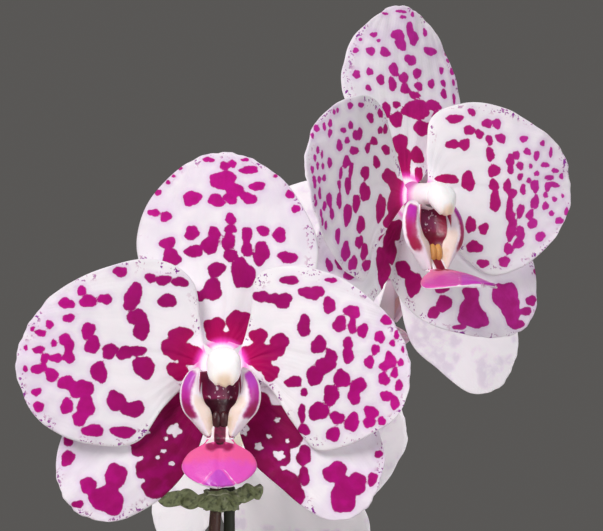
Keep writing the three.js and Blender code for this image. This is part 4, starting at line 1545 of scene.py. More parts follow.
@dataclass
class Tie:
    """The twist tie: a band round stem and stake, and two crinkled arms."""

    stake: Stake
    stem_x: float = -2.3
    z: float = 420.3
    y: float = 0.2
    half_depth: float = 2.6
    stem_radius: float = 2.1
    height: float = 5.2
    band: float = 0.8
    strip: float = 1.0
    knot: float = 1.5
    crinkle: float = 1.1
    left_arm: float = 14.6
    left_rise: float = 1.0
    right_arm: float = 9.5
    right_rise: float = 3.2

    def _arm(self, form: Form, direction: int, length: float, rise: float) -> None:
        """Adds one loose end.

        Args:
            form: The form that takes it.
            direction: 1 for the right one, -1 for the left.
            length: How far it reaches.
            rise: How far its tip stands above its start.
        """
        in_front = self.y - self.half_depth - self.band / 2
        t = np.linspace(0, 1, 120)[:, None]
        v = np.linspace(-1, 1, 21)[None]
        lumps = np.abs(np.sin(11 * t + 0.8 * direction)) ** 0.7
        half = self.height / 2 * lerp(1.0, 0.7, t) * (0.8 + 0.26 * lumps) * ease(t, 1.06, 0.9)
        fold = self.crinkle * np.sin(4 * math.pi * t + v) * np.minimum(1, 3 * t)
        crease = np.abs(np.sin(17 * t + 2.4 * v + direction))
        thick = self.strip * (0.25 + 0.7 * crease * (1 - v * v) + 0.5 * lumps * (1 - v**4))
        x = self.stem_x + self.knot + direction * (length + self.knot) * t + 0 * v
        y = in_front - 1.2 * t + 0.5 * fold
        z = self.z + rise * t + v * half + 0.3 * fold + 0.3 * np.sin(9 * t + 2 * v)
        front = np.stack([x, y - thick, z], -1)
        back = np.stack([x, y + thick * 0.6, z], -1)
        edge = np.exp(-(((v - 0.55) / 0.12) ** 2)) * ease(np.sin(7 * t + 1), 0.2, 0.7)
        ridge = {"ridge": edge + 0.0 * t}
        form.sheet(front, back, ridge, ridge)

    def dress(self) -> None:
        """Builds the tie."""
        form = Form()
        self._arm(form, -1, self.left_arm, self.left_rise)
        self._arm(form, 1, self.right_arm, self.right_rise)
        rounds = 22
        levels = np.linspace(-1, 1, 9)
        ends = [(self.stem_x - CLEARANCE, self.stem_radius, math.pi / 2),
                (self.stake.x + CLEARANCE, self.stake.radius, -math.pi / 2)]
        angle = np.linspace(0, math.pi, rounds)

        def loop(grow: Array, z: Array) -> Array:
            """The band's outline.

            Args:
                grow: How far it stands off stem and stake.
                z: The height of each of its points.

            Returns:
                One point in each row.
            """
            parts = [np.stack([x + (r + grow) * np.cos(a0 + angle),
                               self.y + (self.half_depth + grow) * np.sin(a0 + angle)], -1)
                     for x, r, a0 in ends]
            flat = np.vstack(parts)
            return np.column_stack([flat, z])

        place = np.linspace(0, 2 * math.pi, 2 * rounds, endpoint=False)
        outer, inner = [], []
        for level in levels:
            z = self.z + level * self.height / 2 * (0.94 + 0.06 * np.sin(9 * place))
            crease = 0.1 * math.sin(6 * level + 1)
            outer.append(loop(self.band + crease - 0.1, z))
            inner.append(loop(0.0, z))
        section = np.stack([*outer, *inner[::-1]])
        count, sides = section.shape[:2]
        number = np.arange(count * sides).reshape(count, sides)
        follow = np.roll(number, -1, axis=1)
        quads = np.stack([number, follow, np.roll(follow, -1, axis=0), np.roll(number, -1, axis=0)], -1)
        form.add(section.reshape(-1, 3), quads.reshape(-1, 4), Form.NO_TRIANGLES, {"ridge": 0.2})
        set_out(form, "tie_strip", TieFinish().material(), ["twist_tie"])


# Blooms


@dataclass(frozen=True)
class Stance:
    """How a tepal stands: its direction in degrees, the depth of its claw, its lean, curl and waves."""

    angle: float
    claw: float
    lean: float
    curl: float
    saddle: float
    wave: float
    waves: int

    def shares(self, x: Amount, y: Amount, length: float) -> tuple[Amount, Amount]:
        """Where a place lies along the tepal and beside its midline, as shares of its length."""
        a = math.radians(self.angle)
        return (x * math.cos(a) + y * math.sin(a)) / length, (-x * math.sin(a) + y * math.cos(a)) / length

    def depth(self, along: Amount, beside: Amount, length: float) -> Amount:
        """The depth of the tepal's middle surface without its waves."""
        lean = self.lean * along + self.curl * along * along + self.saddle * beside * beside * 4
        return self.claw + length * lean


STANCES = {
    "dorsal_sepal": Stance(90, -2.4, -0.02, -0.01, -0.05, 0.35, 2),
    "left_petal": Stance(176, 0.1, 0.36, -0.1, -0.02, 0.7, 3),
    "right_petal": Stance(4, 0.1, 0.36, -0.1, -0.02, 0.7, 3),
    "left_sepal": Stance(-135, -2.4, 0.23, -0.07, -0.04, 0.5, 2),
    "right_sepal": Stance(-45, -2.4, 0.23, -0.07, -0.04, 0.5, 2),
}


@dataclass(frozen=True)
class Stand:
    """Where the middle of a bloom is, and its turn about the upright in degrees."""

    centre: Point
    turn: float

    def axes(self) -> Array:
        """The bloom's own x, y and z in the plant's frame, one in each row."""
        c, s = math.cos(math.radians(self.turn)), math.sin(math.radians(self.turn))
        return np.array([[c, s, 0.0], [0.0, 0.0, 1.0], [s, -c, 0.0]])

    def to_world(self, points: Array) -> Array:
        """Brings points from the bloom's frame to the plant's."""
        return points @ self.axes() + np.asarray(self.centre, float)


@dataclass(frozen=True)
class Sight:
    """The camera that took the reference photograph: it stands level and looks along +Y."""

    place: Point = (20, -478, 481)
    lens: float = 110.15
    sensor: float = 36
    columns: int = 603
    rows: int = 531
    rounds: int = 40

    def meet(self, column: float, row: float, stand: Stand, stance: Stance) -> Array:
        """Where the line of sight through a pixel meets a tepal's middle surface.

        Args:
            column: The pixel's column in the photograph.
            row: The pixel's row.
            stand: How the bloom stands.
            stance: How the tepal stands in the bloom.

        Returns:
            The x and y of the place in the bloom's frame.
        """
        pixel = self.sensor / self.lens / self.columns
        look = np.array([(column - self.columns / 2) * pixel, 1.0, (self.rows / 2 - row) * pixel])
        start = stand.axes() @ (np.asarray(self.place, float) - np.asarray(stand.centre, float))
        way = stand.axes() @ look
        depth = 0.0
        for _ in range(self.rounds):
            x, y, _ = start + way * (depth - start[2]) / way[2]
            depth = lerp(depth, stance.depth(*stance.shares(x, y, TEPAL_LENGTH), TEPAL_LENGTH), 0.5)
        return np.array([x, y])

    def measure(self, reading: Row, stand: Stand, stance: Stance) -> Row:
        """A reading in pixels brought to millimetres of the bloom's frame.

        Args:
            reading: The column and row of a blotch's middle, half its width and half its height.
            stand: How the bloom stands.
            stance: How the tepal stands in the bloom.

        Returns:
            Its middle's x and y to the nearest half millimetre, half its width and half its height.
        """
        column, row, half_width, half_height = reading
        middle = self.meet(column, row, stand, stance)
        side = self.meet(column + half_width, row, stand, stance)
        top = self.meet(column, row - half_height, stand, stance)
        x, y = np.round(2 * middle) / 2
        return x, y, round(math.dist(side, middle), 1), round(math.dist(top, middle), 1)


@dataclass(frozen=True)
class Marking:
    """One tepal's pattern: its outline, its blotches, its dark fields and the pale flecks in them.

    The outline's points and the fields are in millimetres of the bloom's frame. Blotches and flecks are
    readings in pixels of the photograph, and a few of them were moved by up to 5 pixels afterwards.
    Fields, blotches and flecks are rows of the middle's two places, half the width and half the
    height.
    """

    outline: Sequence[tuple[float, float]]
    blotches: Sequence[Row]
    fields: Sequence[Row] = ()
    flecks: Sequence[Row] = ()

    def measured(self, sight: Sight, stand: Stand, stance: Stance) -> "Marking":
        """The same pattern, all of it in millimetres of the bloom's frame.

        Args:
            sight: The camera of the photograph.
            stand: How the bloom stands.
            stance: How the tepal stands in the bloom.

        Returns:
            The measured pattern.
        """
        blotches = [sight.measure(row, stand, stance) for row in self.blotches]
        flecks = [sight.measure(row, stand, stance) for row in self.flecks]
        return replace(self, blotches=blotches, flecks=flecks)


FRONT_MARKINGS = {
    "dorsal_sepal": Marking(
        outline=((-6.5, 7), (-16.5, 17), (-21.3, 28.6), (-19.1, 38.7), (-8.5, 49.9), (1.3, 52.3),
            (11.2, 48.5), (19.2, 39.9), (23.7, 28), (19, 15), (7, 6.5)),
        blotches=((208, 159, 6, 3), (224, 166, 5, 5), (232, 164, 4, 4), (249, 170, 10, 4),
            (245, 159, 4, 2), (222, 181, 14, 9), (235, 191, 8, 8), (216, 201, 8, 7), (230, 199, 7, 6),
            (250, 198, 8, 6), (257, 187, 8, 5), (192, 198, 9, 8), (290, 194, 4.5, 4.5), (296, 208, 5, 4),
            (275, 176, 3, 2), (158, 193, 3.5, 3.5), (168, 182, 2.5, 2.5), (174, 176, 2, 2),
            (180, 169, 2.5, 2.5), (154, 212, 6, 4), (166, 217, 5.5, 5.5), (230, 219, 5.5, 5.5),
            (230, 228, 6, 5), (229, 241, 7, 9), (231, 256, 6.5, 6.5), (214, 232, 6.5, 6.5),
            (210, 245, 8, 10), (246, 234, 6, 8), (246, 249, 5.5, 9), (231, 256, 6, 6), (193, 233, 8, 7),
            (194, 252, 9, 7), (168, 244, 9, 6), (172, 257, 10, 8), (264, 231, 6.5, 5.5),
            (280, 236, 7.5, 7.5), (261, 254, 8, 12), (287, 257, 10, 6), (217, 270, 9, 8),
            (242, 274, 12, 16), (212, 289, 11, 10), (201, 296, 6, 6), (215, 327, 10, 10),
            (238, 323, 12, 14), (218, 337, 12, 7), (238, 336, 13, 8)),
    ),
    "left_petal": Marking(
        outline=((-4.1, 4), (-5.3, 12), (-7, 20.7), (-13.5, 25.4), (-24.5, 25.1), (-40.7, 16.7), (-48, 4),
            (-46.8, -5.7), (-41.5, -13.6), (-28.3, -19), (-20, -17.9), (-13.4, -9.2), (-5.5, -2)),
        blotches=((121, 272, 7, 6), (151, 278, 6, 5), (163, 279, 9, 5), (181, 283, 9, 5),
            (135, 291, 7, 9), (132, 300, 9, 9), (168, 301, 9, 8), (81, 291, 5, 5), (89, 302, 10, 6),
            (106, 298, 7, 6), (67, 304, 8, 6), (68, 319, 6, 5), (138, 317, 10, 9), (142, 329, 9, 10),
            (88, 331, 7.5, 8.5), (92, 346, 8, 9), (110, 352, 8, 8), (125, 354, 8, 7), (137, 351, 9, 6),
            (145, 368, 10.5, 12), (99, 373, 9, 10.5), (49, 325, 4, 5), (41, 333, 6, 4), (64, 338, 6, 6),
            (69, 348, 5, 10), (70, 358, 6, 6), (57, 358, 6, 5), (53, 343, 3, 4), (38, 349, 7, 4),
            (45, 358, 5, 5), (38, 369, 8, 5), (52, 374, 7, 7), (67, 383, 9, 8), (82, 390, 12, 9),
            (66, 406, 7.5, 7.5), (87, 405, 8, 12), (80, 419, 8, 7), (94, 430, 13, 6), (117, 402, 10, 11),
            (134, 410, 11, 9), (122, 432, 13, 6), (179, 336, 12, 10), (172, 348, 10, 11),
            (189, 354, 12, 12), (178, 371, 11, 9), (36, 392, 5, 4), (39, 406, 6, 5), (197, 352, 6, 6),
            (25, 347, 2, 3.5), (32, 328, 3, 2.5), (25, 369, 2.5, 3.5)),
    ),
    "right_petal": Marking(
        outline=((4.5, 4), (6.9, 12), (8.4, 21.7), (14, 24.4), (28.4, 21.7), (41.3, 11), (45.3, 0),
            (42.3, -11), (35.3, -16.3), (23.4, -20), (17.3, -13.5), (11.3, -4.7), (5, -1.4)),
        blotches=((260, 297, 8, 6), (272, 299, 8, 5), (283, 301, 9, 8), (290, 279, 9, 5),
            (306, 292, 8, 6), (316, 292, 8, 7), (329, 306, 7, 8), (331, 280, 6, 3), (352, 311, 8, 7),
            (340, 325, 7, 8.5), (352, 327, 4.5, 7.5), (363, 331, 6, 7), (385, 320, 6, 5),
            (380, 336, 6, 6), (396, 335, 3, 4), (393, 344, 3.5, 3.5), (376, 349, 5, 5),
            (404, 350, 1.5, 4), (318, 345, 8, 9), (347, 342, 6, 6), (349, 356, 6.5, 7.5),
            (332, 355, 6, 7), (325, 365, 10, 9), (314, 375, 8, 11), (341, 378, 8, 10), (369, 362, 6, 6),
            (390, 360, 6, 9), (383, 367, 6, 4), (394, 372, 4, 6), (383, 380, 6.5, 6.5),
            (399, 386, 4, 6.5), (400, 363, 3, 4), (305, 326, 7, 11), (358, 384, 8, 8), (355, 395, 7, 9),
            (332, 395, 9, 10), (318, 411, 10, 10), (337, 418, 7, 7), (333, 434, 8, 7),
            (353, 422, 7.5, 9.5), (371, 413, 7, 7), (369, 422, 6, 6), (381, 420, 4, 5), (385, 395, 6, 6),
            (394, 403, 5, 7), (305, 430, 6, 6), (305, 392, 4, 4), (302, 413, 4, 9), (258, 336, 9, 8),
            (279, 345, 10, 11), (256, 354, 13, 12), (270, 373, 9, 8), (293, 382, 9, 6), (248, 352, 6, 8),
            (263, 362, 9, 9), (270, 352, 8, 8)),
    ),
    "left_sepal": Marking(
        outline=((-6, -2), (-20, -3), (-33, -8.5), (-39.5, -20), (-38.7, -29.7), (-33.6, -35.8),
            (-24.5, -37), (-14.2, -31.6), (-6.6, -22), (-2.6, -9)),
        blotches=((68, 442, 5, 5), (69, 457, 7, 8), (115, 476, 12, 13), (89, 485, 9, 8),
            (107, 499, 17, 15), (78, 504, 6, 4), (142, 446, 12, 10), (147, 467, 12, 10), (153, 488, 12, 9)),
        fields=((-8, -10, 5, 4.5), (-12.5, -13, 5.5, 4.5), (-14.5, -19, 5.5, 4.5), (-13, -25, 5.5, 4.5),
            (-8, -18, 5, 7), (-8.5, -27, 4.5, 5), (-12, -29.5, 4.5, 3)),
        flecks=((173.5, 429.5, 6.3, 6.5), (163.5, 451, 2.8, 1.5), (171.5, 463, 2.8, 2),
            (157, 457, 2.3, 1.5), (166, 438, 2, 1.5)),
    ),
    "right_sepal": Marking(
        outline=((6, -2), (20, -3), (33, -8), (39.2, -18.9), (38.6, -27), (34, -35.1), (25.1, -36.8),
            (14, -29), (6.6, -22), (2.6, -9)),
        blotches=((305, 455, 8, 10), (304, 476, 6, 9), (334, 473, 12, 11), (343, 495, 14, 17),
            (358, 484, 9, 11), (373, 479, 5, 7), (378, 453, 4, 4), (290, 440, 9, 9), (296, 492, 9, 12)),
        fields=((8.5, -11, 4.5, 4), (13, -13, 5, 4), (17, -15.5, 3, 3), (9, -17, 4.5, 6),
            (13, -20, 4.5, 4.5), (10, -25, 5, 5), (14, -28.5, 4, 4.5)),
        flecks=((259, 446, 4, 3.8), (278.5, 456, 5.8, 4.5), (277, 420, 2.8, 2.3), (284, 467, 2.8, 2),
            (243.5, 430.5, 4.6, 5.2), (270, 437, 2.3, 2), (288, 440, 2, 2)),
    ),
}
UPPER_MARKINGS = {
    "dorsal_sepal": Marking(
        outline=((-6.5, 7), (-16, 17), (-20.4, 29), (-17.4, 40.6), (-8.8, 49.2), (-0.8, 52.2),
            (8.6, 48.9), (17.2, 39.9), (23, 27), (18.5, 15), (8, 7), (4.8, 4.2)),
        blotches=((396, 36, 6, 6), (399, 45, 6, 6), (408, 31, 4, 9), (413, 39, 5, 7), (409, 60, 6, 6),
            (429, 51, 6.5, 4.5), (424, 32, 2.5, 4), (384, 53, 5, 5), (370, 52, 5, 4), (355, 50, 3, 3),
            (373, 35, 4, 2.5), (377, 41, 2, 2), (360, 39, 2, 2), (400, 12, 5, 2), (384, 14, 3, 1.5),
            (401, 18, 3.5, 2), (411, 15, 1.5, 3), (356, 74, 4, 4), (368, 71, 3.5, 4.5), (379, 80, 4.5, 5),
            (392, 69, 5, 6.5), (392, 85, 4, 7.5), (403, 77, 5, 5), (404, 89, 4.5, 6), (416, 73, 4.5, 5.5),
            (417, 87, 4, 5), (414, 96, 5, 4), (430, 83, 3.5, 5), (441, 71, 2.5, 3.5), (451, 71, 2, 4),
            (446, 53, 1.5, 3), (448, 60, 1.5, 2.5), (443, 84, 2.5, 4), (443, 95, 3.5, 4.5),
            (453, 83, 1.5, 3.5), (453, 98, 2, 5), (368, 89, 3.5, 3.5), (386, 110, 4, 9), (396, 105, 4, 4),
            (396, 120, 6, 9), (400, 143, 7, 11), (403, 165, 8, 17), (418, 176, 4.5, 8.7),
            (416, 155, 7, 8), (416, 109, 14, 9), (432, 105, 8, 5), (436, 118, 5, 8), (422, 128, 9, 8)),
    ),
    "left_petal": Marking(
        outline=((-4.5, 4), (-7.8, 11), (-12.2, 20), (-17.6, 24.8), (-28.6, 25), (-40.3, 19), (-46.4, 8),
            (-44, -4), (-37.5, -13.8), (-27.6, -20.8), (-20.6, -22.4), (-17.5, -14), (-6, -3.5)),
        blotches=((369, 117, 4, 5), (379, 114, 2.5, 5), (342, 130, 3, 3), (348, 126, 2.5, 4.5),
            (353, 136, 3, 5), (358, 134, 3, 6), (345, 141, 2.5, 4), (338, 146, 3, 6),
            (352, 151, 4.5, 4.5), (373, 141, 3.5, 5), (367, 149, 3, 5.5), (385, 149, 4.5, 5),
            (380, 131, 2.5, 4), (385, 129, 2.5, 5), (375, 162, 3.5, 7), (364, 173, 4, 7.5),
            (345, 161, 3.5, 7), (350, 169, 2.5, 8), (329, 163, 2.5, 5), (340, 174, 2, 6),
            (348, 186, 3.5, 8), (364, 193, 5, 10), (356, 204, 4, 8.5), (347, 214, 4, 12),
            (360, 225, 4, 9.5), (339, 201, 3, 8), (339, 185, 2, 5), (379, 208, 5, 14), (329, 201, 3, 8),
            (331, 214, 2.5, 6), (337, 235, 3, 7.5), (345, 246, 3, 6), (345, 254, 4.5, 8),
            (353, 263, 4, 8), (358, 242, 4, 7), (364, 251, 4, 8), (366, 266, 4.5, 6), (388, 177, 7, 8),
            (396, 187, 8, 8), (394, 205, 8, 16), (394, 222, 10, 10), (387, 239, 8, 8),
            (317.4, 127.7, 2, 4.5), (323.2, 126.7, 1.5, 4.5), (328.6, 122.8, 2, 4),
            (328.6, 133.5, 2, 4.5), (313.2, 135.4, 1.2, 3.5), (317.8, 150.9, 1.8, 3.5),
            (321.7, 153.8, 1.4, 4), (314.5, 157.6, 1.5, 3.5), (311.6, 169.2, 2, 3.5),
            (317.8, 166.3, 1.5, 4), (322.2, 166.7, 1.5, 3.5), (312.8, 178.9, 2.5, 3.5),
            (318.8, 179.9, 1.8, 4.5), (323.6, 178.9, 2, 3.5), (313.2, 186.1, 1.6, 3.5),
            (318.4, 193.4, 1.8, 6), (312.8, 197.3, 1.3, 3), (315.1, 204.1, 1.5, 3.5),
            (320.1, 212.8, 1.4, 5), (323.6, 205, 2, 5), (320.3, 222.4, 1.5, 4), (324.2, 226.3, 1.6, 5),
            (348.4, 106.4, 3, 3.5), (358.6, 104.4, 3, 3), (331.9, 111.2, 1.5, 3), (335.8, 110.3, 1.2, 3),
            (402, 222, 9, 16), (396, 238, 8, 10)),
    ),
    "right_petal": Marking(
        outline=((4.2, 4), (4.1, 13), (6.4, 22), (14.4, 25.9), (24.5, 25.5), (36, 20.6), (46.5, 12.7),
            (48.9, 1.8), (44.6, -7.8), (36.5, -17), (24.4, -21.2), (13, -14), (5, -3)),
        blotches=((454, 119, 9, 4.5), (472, 113, 4.5, 4), (469, 130, 5.5, 5.5), (479, 134, 4.5, 5),
            (452, 145, 6.5, 5), (464, 144, 6, 6), (487, 124, 6, 4.5), (497, 124, 5, 5), (489, 139, 4, 5),
            (501, 139, 5, 5.5), (489, 154, 4.5, 7), (493, 171, 6, 7), (493, 186, 5, 6), (494, 201, 6, 10),
            (508, 161, 4.5, 6), (509, 169, 3.5, 5), (506, 185, 4, 7), (510, 193, 5, 5), (509, 205, 4, 9),
            (509, 216, 5, 6), (512, 224, 4.5, 4.5), (510, 232, 5, 8), (521, 232, 4.5, 7),
            (509, 248, 4.5, 6), (518, 244, 6, 5), (515, 155, 4, 4), (519, 166, 4, 4),
            (519, 176, 3.5, 3.5), (521, 189, 3.5, 5.5), (528, 180, 3, 3), (519, 211, 4, 7),
            (522, 139.5, 4, 3.5), (526, 151, 4, 3.5), (536, 155, 3.5, 5), (530, 166, 2.5, 2.5),
            (536, 173, 3, 3), (544, 165, 4.5, 3), (550, 153, 2, 5), (541, 144, 3, 3), (534, 187, 5, 6),
            (533, 202, 4.5, 7), (529, 215, 4, 5), (532, 224, 5, 5), (547, 187, 3.5, 5), (544, 196, 3, 3),
            (554, 199, 3, 3), (562, 196, 2, 2), (545, 206, 4, 4), (551, 214, 3, 3), (558, 221, 4, 4),
            (565, 211, 2.5, 4), (555, 170, 4, 3), (562, 176, 3, 3), (550, 178, 5, 3), (556, 185, 5, 3),
            (539, 237, 5, 5), (504, 262, 6, 5), (483, 263, 7, 4), (473, 247, 9, 6), (483, 228, 5, 6.5),
            (469, 225, 5, 9), (467, 182, 7, 10), (447, 179, 11, 5)),
    ),
    "left_sepal": Marking(
        outline=((-6, -2), (-20, -2.5), (-33, -8), (-38.4, -19), (-38.6, -29), (-34, -35.6), (-25, -36),
            (-16.5, -28.5), (-8.4, -19), (-2.8, -8)),
        blotches=((328, 266, 3.5, 7), (339, 263, 4, 6), (347, 275, 6, 5), (380, 271, 4.5, 20)),
        fields=((-9, -14, 3, 4), (-12, -20, 3, 6), (-6, -9, 3.5, 3)),
    ),
    "right_sepal": Marking(
        outline=((6, -2), (22, -2.5), (36, -8), (42.2, -20), (41.6, -31), (36.3, -37), (24, -38.6),
            (9.2, -36), (0.3, -31.9), (-5.6, -25.5), (-6.8, -18), (-3.4, -9)),
        blotches=((401, 269, 8, 8), (412, 283, 8, 14), (444, 304, 8, 8), (433, 313, 6, 6),
            (441, 289, 8, 4), (470, 295, 9, 8), (470, 312, 14, 14), (478, 320, 10, 10),
            (505, 295, 12, 15), (511, 310, 10, 14), (531, 301, 6, 5), (525, 312, 7, 4),
            (535, 321, 3.5, 3.5), (516, 324, 9, 5), (458, 327, 6, 3), (537, 273, 5, 5)),
    ),
}


def to_blotches(x: Array, y: Array, rows: Sequence[Row], soft: float, draw: np.random.Generator,
                star: float = 0.0) -> Array:
    """How far each point lies outside the nearest blotch.

    Args:
        x: The points' x.
        y: The points' y.
        rows: The blotches.
        soft: How far from each other two blotches run together.
        draw: The source of their uneven edges.
        star: How far their rays stand out.

    Returns:
        Distances in millimetres, negative inside a blotch.
    """
    nearest = np.full(x.shape, FAR_OFF)
    for middle_x, middle_y, half_x, half_y in rows:
        dx, dy = x - middle_x, y - middle_y
        phases = draw.uniform(0, 2 * math.pi, 3)
        angle = np.arctan2(dy / half_y, dx / half_x)
        uneven = 1 + 0.1 * np.sin(2 * angle + phases[0]) + 0.08 * np.sin(3 * angle + phases[1])
        uneven = uneven + 0.05 * np.sin(5 * angle + phases[2])
        uneven = uneven + star * (np.sin(5 * angle + phases[2]) + np.sin(4 * angle + phases[0]))
        rx, ry = half_x * uneven, half_y * uneven
        inner = np.hypot(dx / rx, dy / ry)
        slope = np.hypot(dx / rx**2, dy / ry**2)
        gap = inner * (inner - 1) / np.maximum(slope, 1e-6)
        gap = np.where(inner < 0.05, -min(half_x, half_y), gap)
        h = np.clip(0.5 + 0.5 * (gap - nearest) / soft, 0, 1)
        nearest = lerp(gap, nearest, h) - soft * h * (1 - h)
    return nearest


@dataclass
class Tepal:
    """One sepal or petal: a patch between its narrow claw, its two sides and its tip."""

    name: str
    stance: Stance
    marking: Marking
    scale: float
    sign: int
    rows: int
    columns: int
    thickness: float = 0.85
    claw_radius: float = 3.4
    claw_spread: float = 26
    tip_share: float = 0.2
    waves_round: float = 0.55
    wave_start: float = 0.4
    ruffle: float = 0.22
    dent: float = 0.4
    notch: float = 0.13
    blotch_soft: float = 0.5
    field_soft: float = 0.6
    field_wash: float = 0.85
    fleck_soft: float = 0.1
    fleck_star: float = 0.1
    sepal_wash: float = 0.45

    def __post_init__(self) -> None:
        """Lays out the margin."""
        self.length = TEPAL_LENGTH * self.scale
        self.is_sepal = "sepal" in self.name
        scaled = [(self.sign * x * self.scale, y * self.scale, 0.0) for x, y in self.marking.outline]
        start = math.atan2(scaled[0][1], scaled[0][0]) - math.radians(self.stance.angle)
        self.spread = self.claw_spread if math.sin(start) > 0 else -self.claw_spread
        self.margin = Course([self._claw(0.0), *scaled, self._claw(1.0)], 90)
        self.tip_start = (1 - self.tip_share) / 2

    def _claw(self, across: Amount) -> Array:
        """Points of the claw's edge, from its first side to its last."""
        a = np.radians(self.stance.angle + lerp(self.spread, -self.spread, np.asarray(across, float)))
        return np.stack([self.claw_radius * np.cos(a), self.claw_radius * np.sin(a), 0 * a], -1)

    def _tip(self, across: Amount) -> Array:
        """Points of the margin's tip, from its first side to its last."""
        return self.margin.at(lerp(self.tip_start, 1 - self.tip_start, np.asarray(across, float)))

    @staticmethod
    def _bulge(arc: Callable[[Array], Array], across: Array) -> Array:
        """How far an arc stands off its own chord."""
        return arc(across) - lerp(arc(0.0), arc(1.0), across[:, None])

    def _depth(self, x: Array, y: Array, swell: Array) -> Array:
        """The depth of the middle surface, with its waves.

        Args:
            x: The places' x in the bloom's frame.
            y: The places' y.
            swell: How much of the waves shows there, from 0 to 1 at the margin.

        Returns:
            The depth at each place.
        """
        stance = self.stance
        u, v = stance.shares(x, y, self.length)
        turn = np.arctan2(v, u - self.waves_round)
        wave = stance.wave * np.sin(stance.waves * turn + stance.angle)
        ruffle = self.ruffle * (np.sin(11 * turn + stance.angle) + 0.4 * np.sin(23 * turn))
        dents = self.dent * np.sin(7 * u + stance.angle) * np.sin(9 * v + 1)
        return stance.depth(u, v, self.length) + swell * (wave + ruffle) + dents * ease(u, 0.2, 0.5)

    def _pattern(self, x: Array, y: Array) -> tuple[Array, Array]:
        """The tepal's markings.

        Args:
            x: The places' x, as they lie in the pattern.
            y: The places' y.

        Returns:
            How far each place lies outside the nearest blotch, and how dark the flesh is there.
        """
        marking = self.marking
        draw = np.random.default_rng(len(marking.blotches) * 7 + len(self.name))
        blotch = to_blotches(x, y, marking.blotches, self.blotch_soft, draw)
        wash = np.zeros_like(blotch)
        if marking.fields:
            field_gap = to_blotches(x, y, marking.fields, self.field_soft, draw)
            blotch = np.minimum(blotch, field_gap)
            wash = ease(field_gap, 6.0, 1.0) * self.field_wash
        for row in marking.flecks:
            blotch = np.maximum(blotch, -to_blotches(x, y, [row], self.fleck_soft, draw, self.fleck_star))
        if self.is_sepal and self.name != "dorsal_sepal":
            wash = np.maximum(wash, self.sepal_wash)
        return blotch, wash

    def form(self, to_world: Placing) -> Form:
        """The tepal's mesh, with its markings kept at its points.

        Args:
            to_world: Brings points from the bloom's frame to the plant's.

        Returns:
            The form.
        """
        even = np.linspace(0, 1, self.rows)
        along = lerp(even, np.sin(even * math.pi / 2), 0.45)
        even = np.linspace(0, 1, self.columns)
        across = lerp(even, 0.5 - 0.5 * np.cos(even * math.pi), 0.5)
        first = self.margin.at(self.tip_start * along)[:, None]
        last = self.margin.at(1 - self.tip_start * along)[:, None]
        s, c = along[:, None], across[None]
        flat = lerp(first, last, c[..., None])
        flat = flat + self._bulge(self._claw, across)[None] * (1 - s)[..., None]
        flat = flat + self._bulge(self._tip, across)[None] * s[..., None]
        side = 2 * c - 1
        nearness = 1 - (1 - s**6) * (1 - side**6)
        place = np.arctan2(side, 1.2 * s - 0.4)
        uneven = self.notch * (np.sin(13 * place + self.stance.angle) + 0.5 * np.sin(29 * place))
        outward = unit(flat * [1.0, 1.0, 0.0])
        flat = flat + (uneven * nearness**2 * ease(s, 0.1, 0.3))[..., None] * outward
        x, y = flat[..., 0], flat[..., 1]
        z = self._depth(x, y, nearness * ease(s, 0.0, self.wave_start))
        width = np.linalg.norm(last - first, axis=-1)
        rim = np.minimum(width * np.minimum(c, 1 - c), (1 - s) * self.length)
        edge = np.clip(rim / 1.0, 0, 1)
        rounded = np.sqrt(1 - (1 - edge) ** 2) * 0.93 + 0.07
        half = self.thickness / 2 * (1 - 0.3 * nearness) * np.where(s < 0.02, 1.0, rounded)
        rib = np.exp(-((side / 0.035) ** 2)) * ease(1 - s) * ease(s, 0.02, 0.15)
        veins = np.sin(side * 31) * ease(rim, 0.0, 4.0) * 0.035
        groove = rib * (0.16 if self.is_sepal else 0.3) + veins
        keel = rib * (0.75 if self.is_sepal else 0.15) - veins
        front = np.stack([x, y, z + half - groove], -1)
        back = np.stack([x, y, z - half - keel], -1)
        blotch, wash = self._pattern(self.sign * x / self.scale, y / self.scale)
        radius = np.hypot(x, y) / self.length
        shared = {"blotch": blotch, "reach": radius, "rim": rim, "across": side + 0 * s, "wash": wash}
        front_values, back_values = {**shared, "front": 1.0}, {**shared, "front": 0.0}
        return Form().sheet(to_world(front), to_world(back), front_values, back_values)


LIP_PARTS = ("pink", "magenta", "coral", "crimson", "violet", "cream", "yellow", "ochre", "dark", "mauve")


def blank(like: Array) -> dict[str, Array]:
    """The lip's colours at points laid out as given, with none of them showing."""
    return {name: 0.0 * like for name in LIP_PARTS}


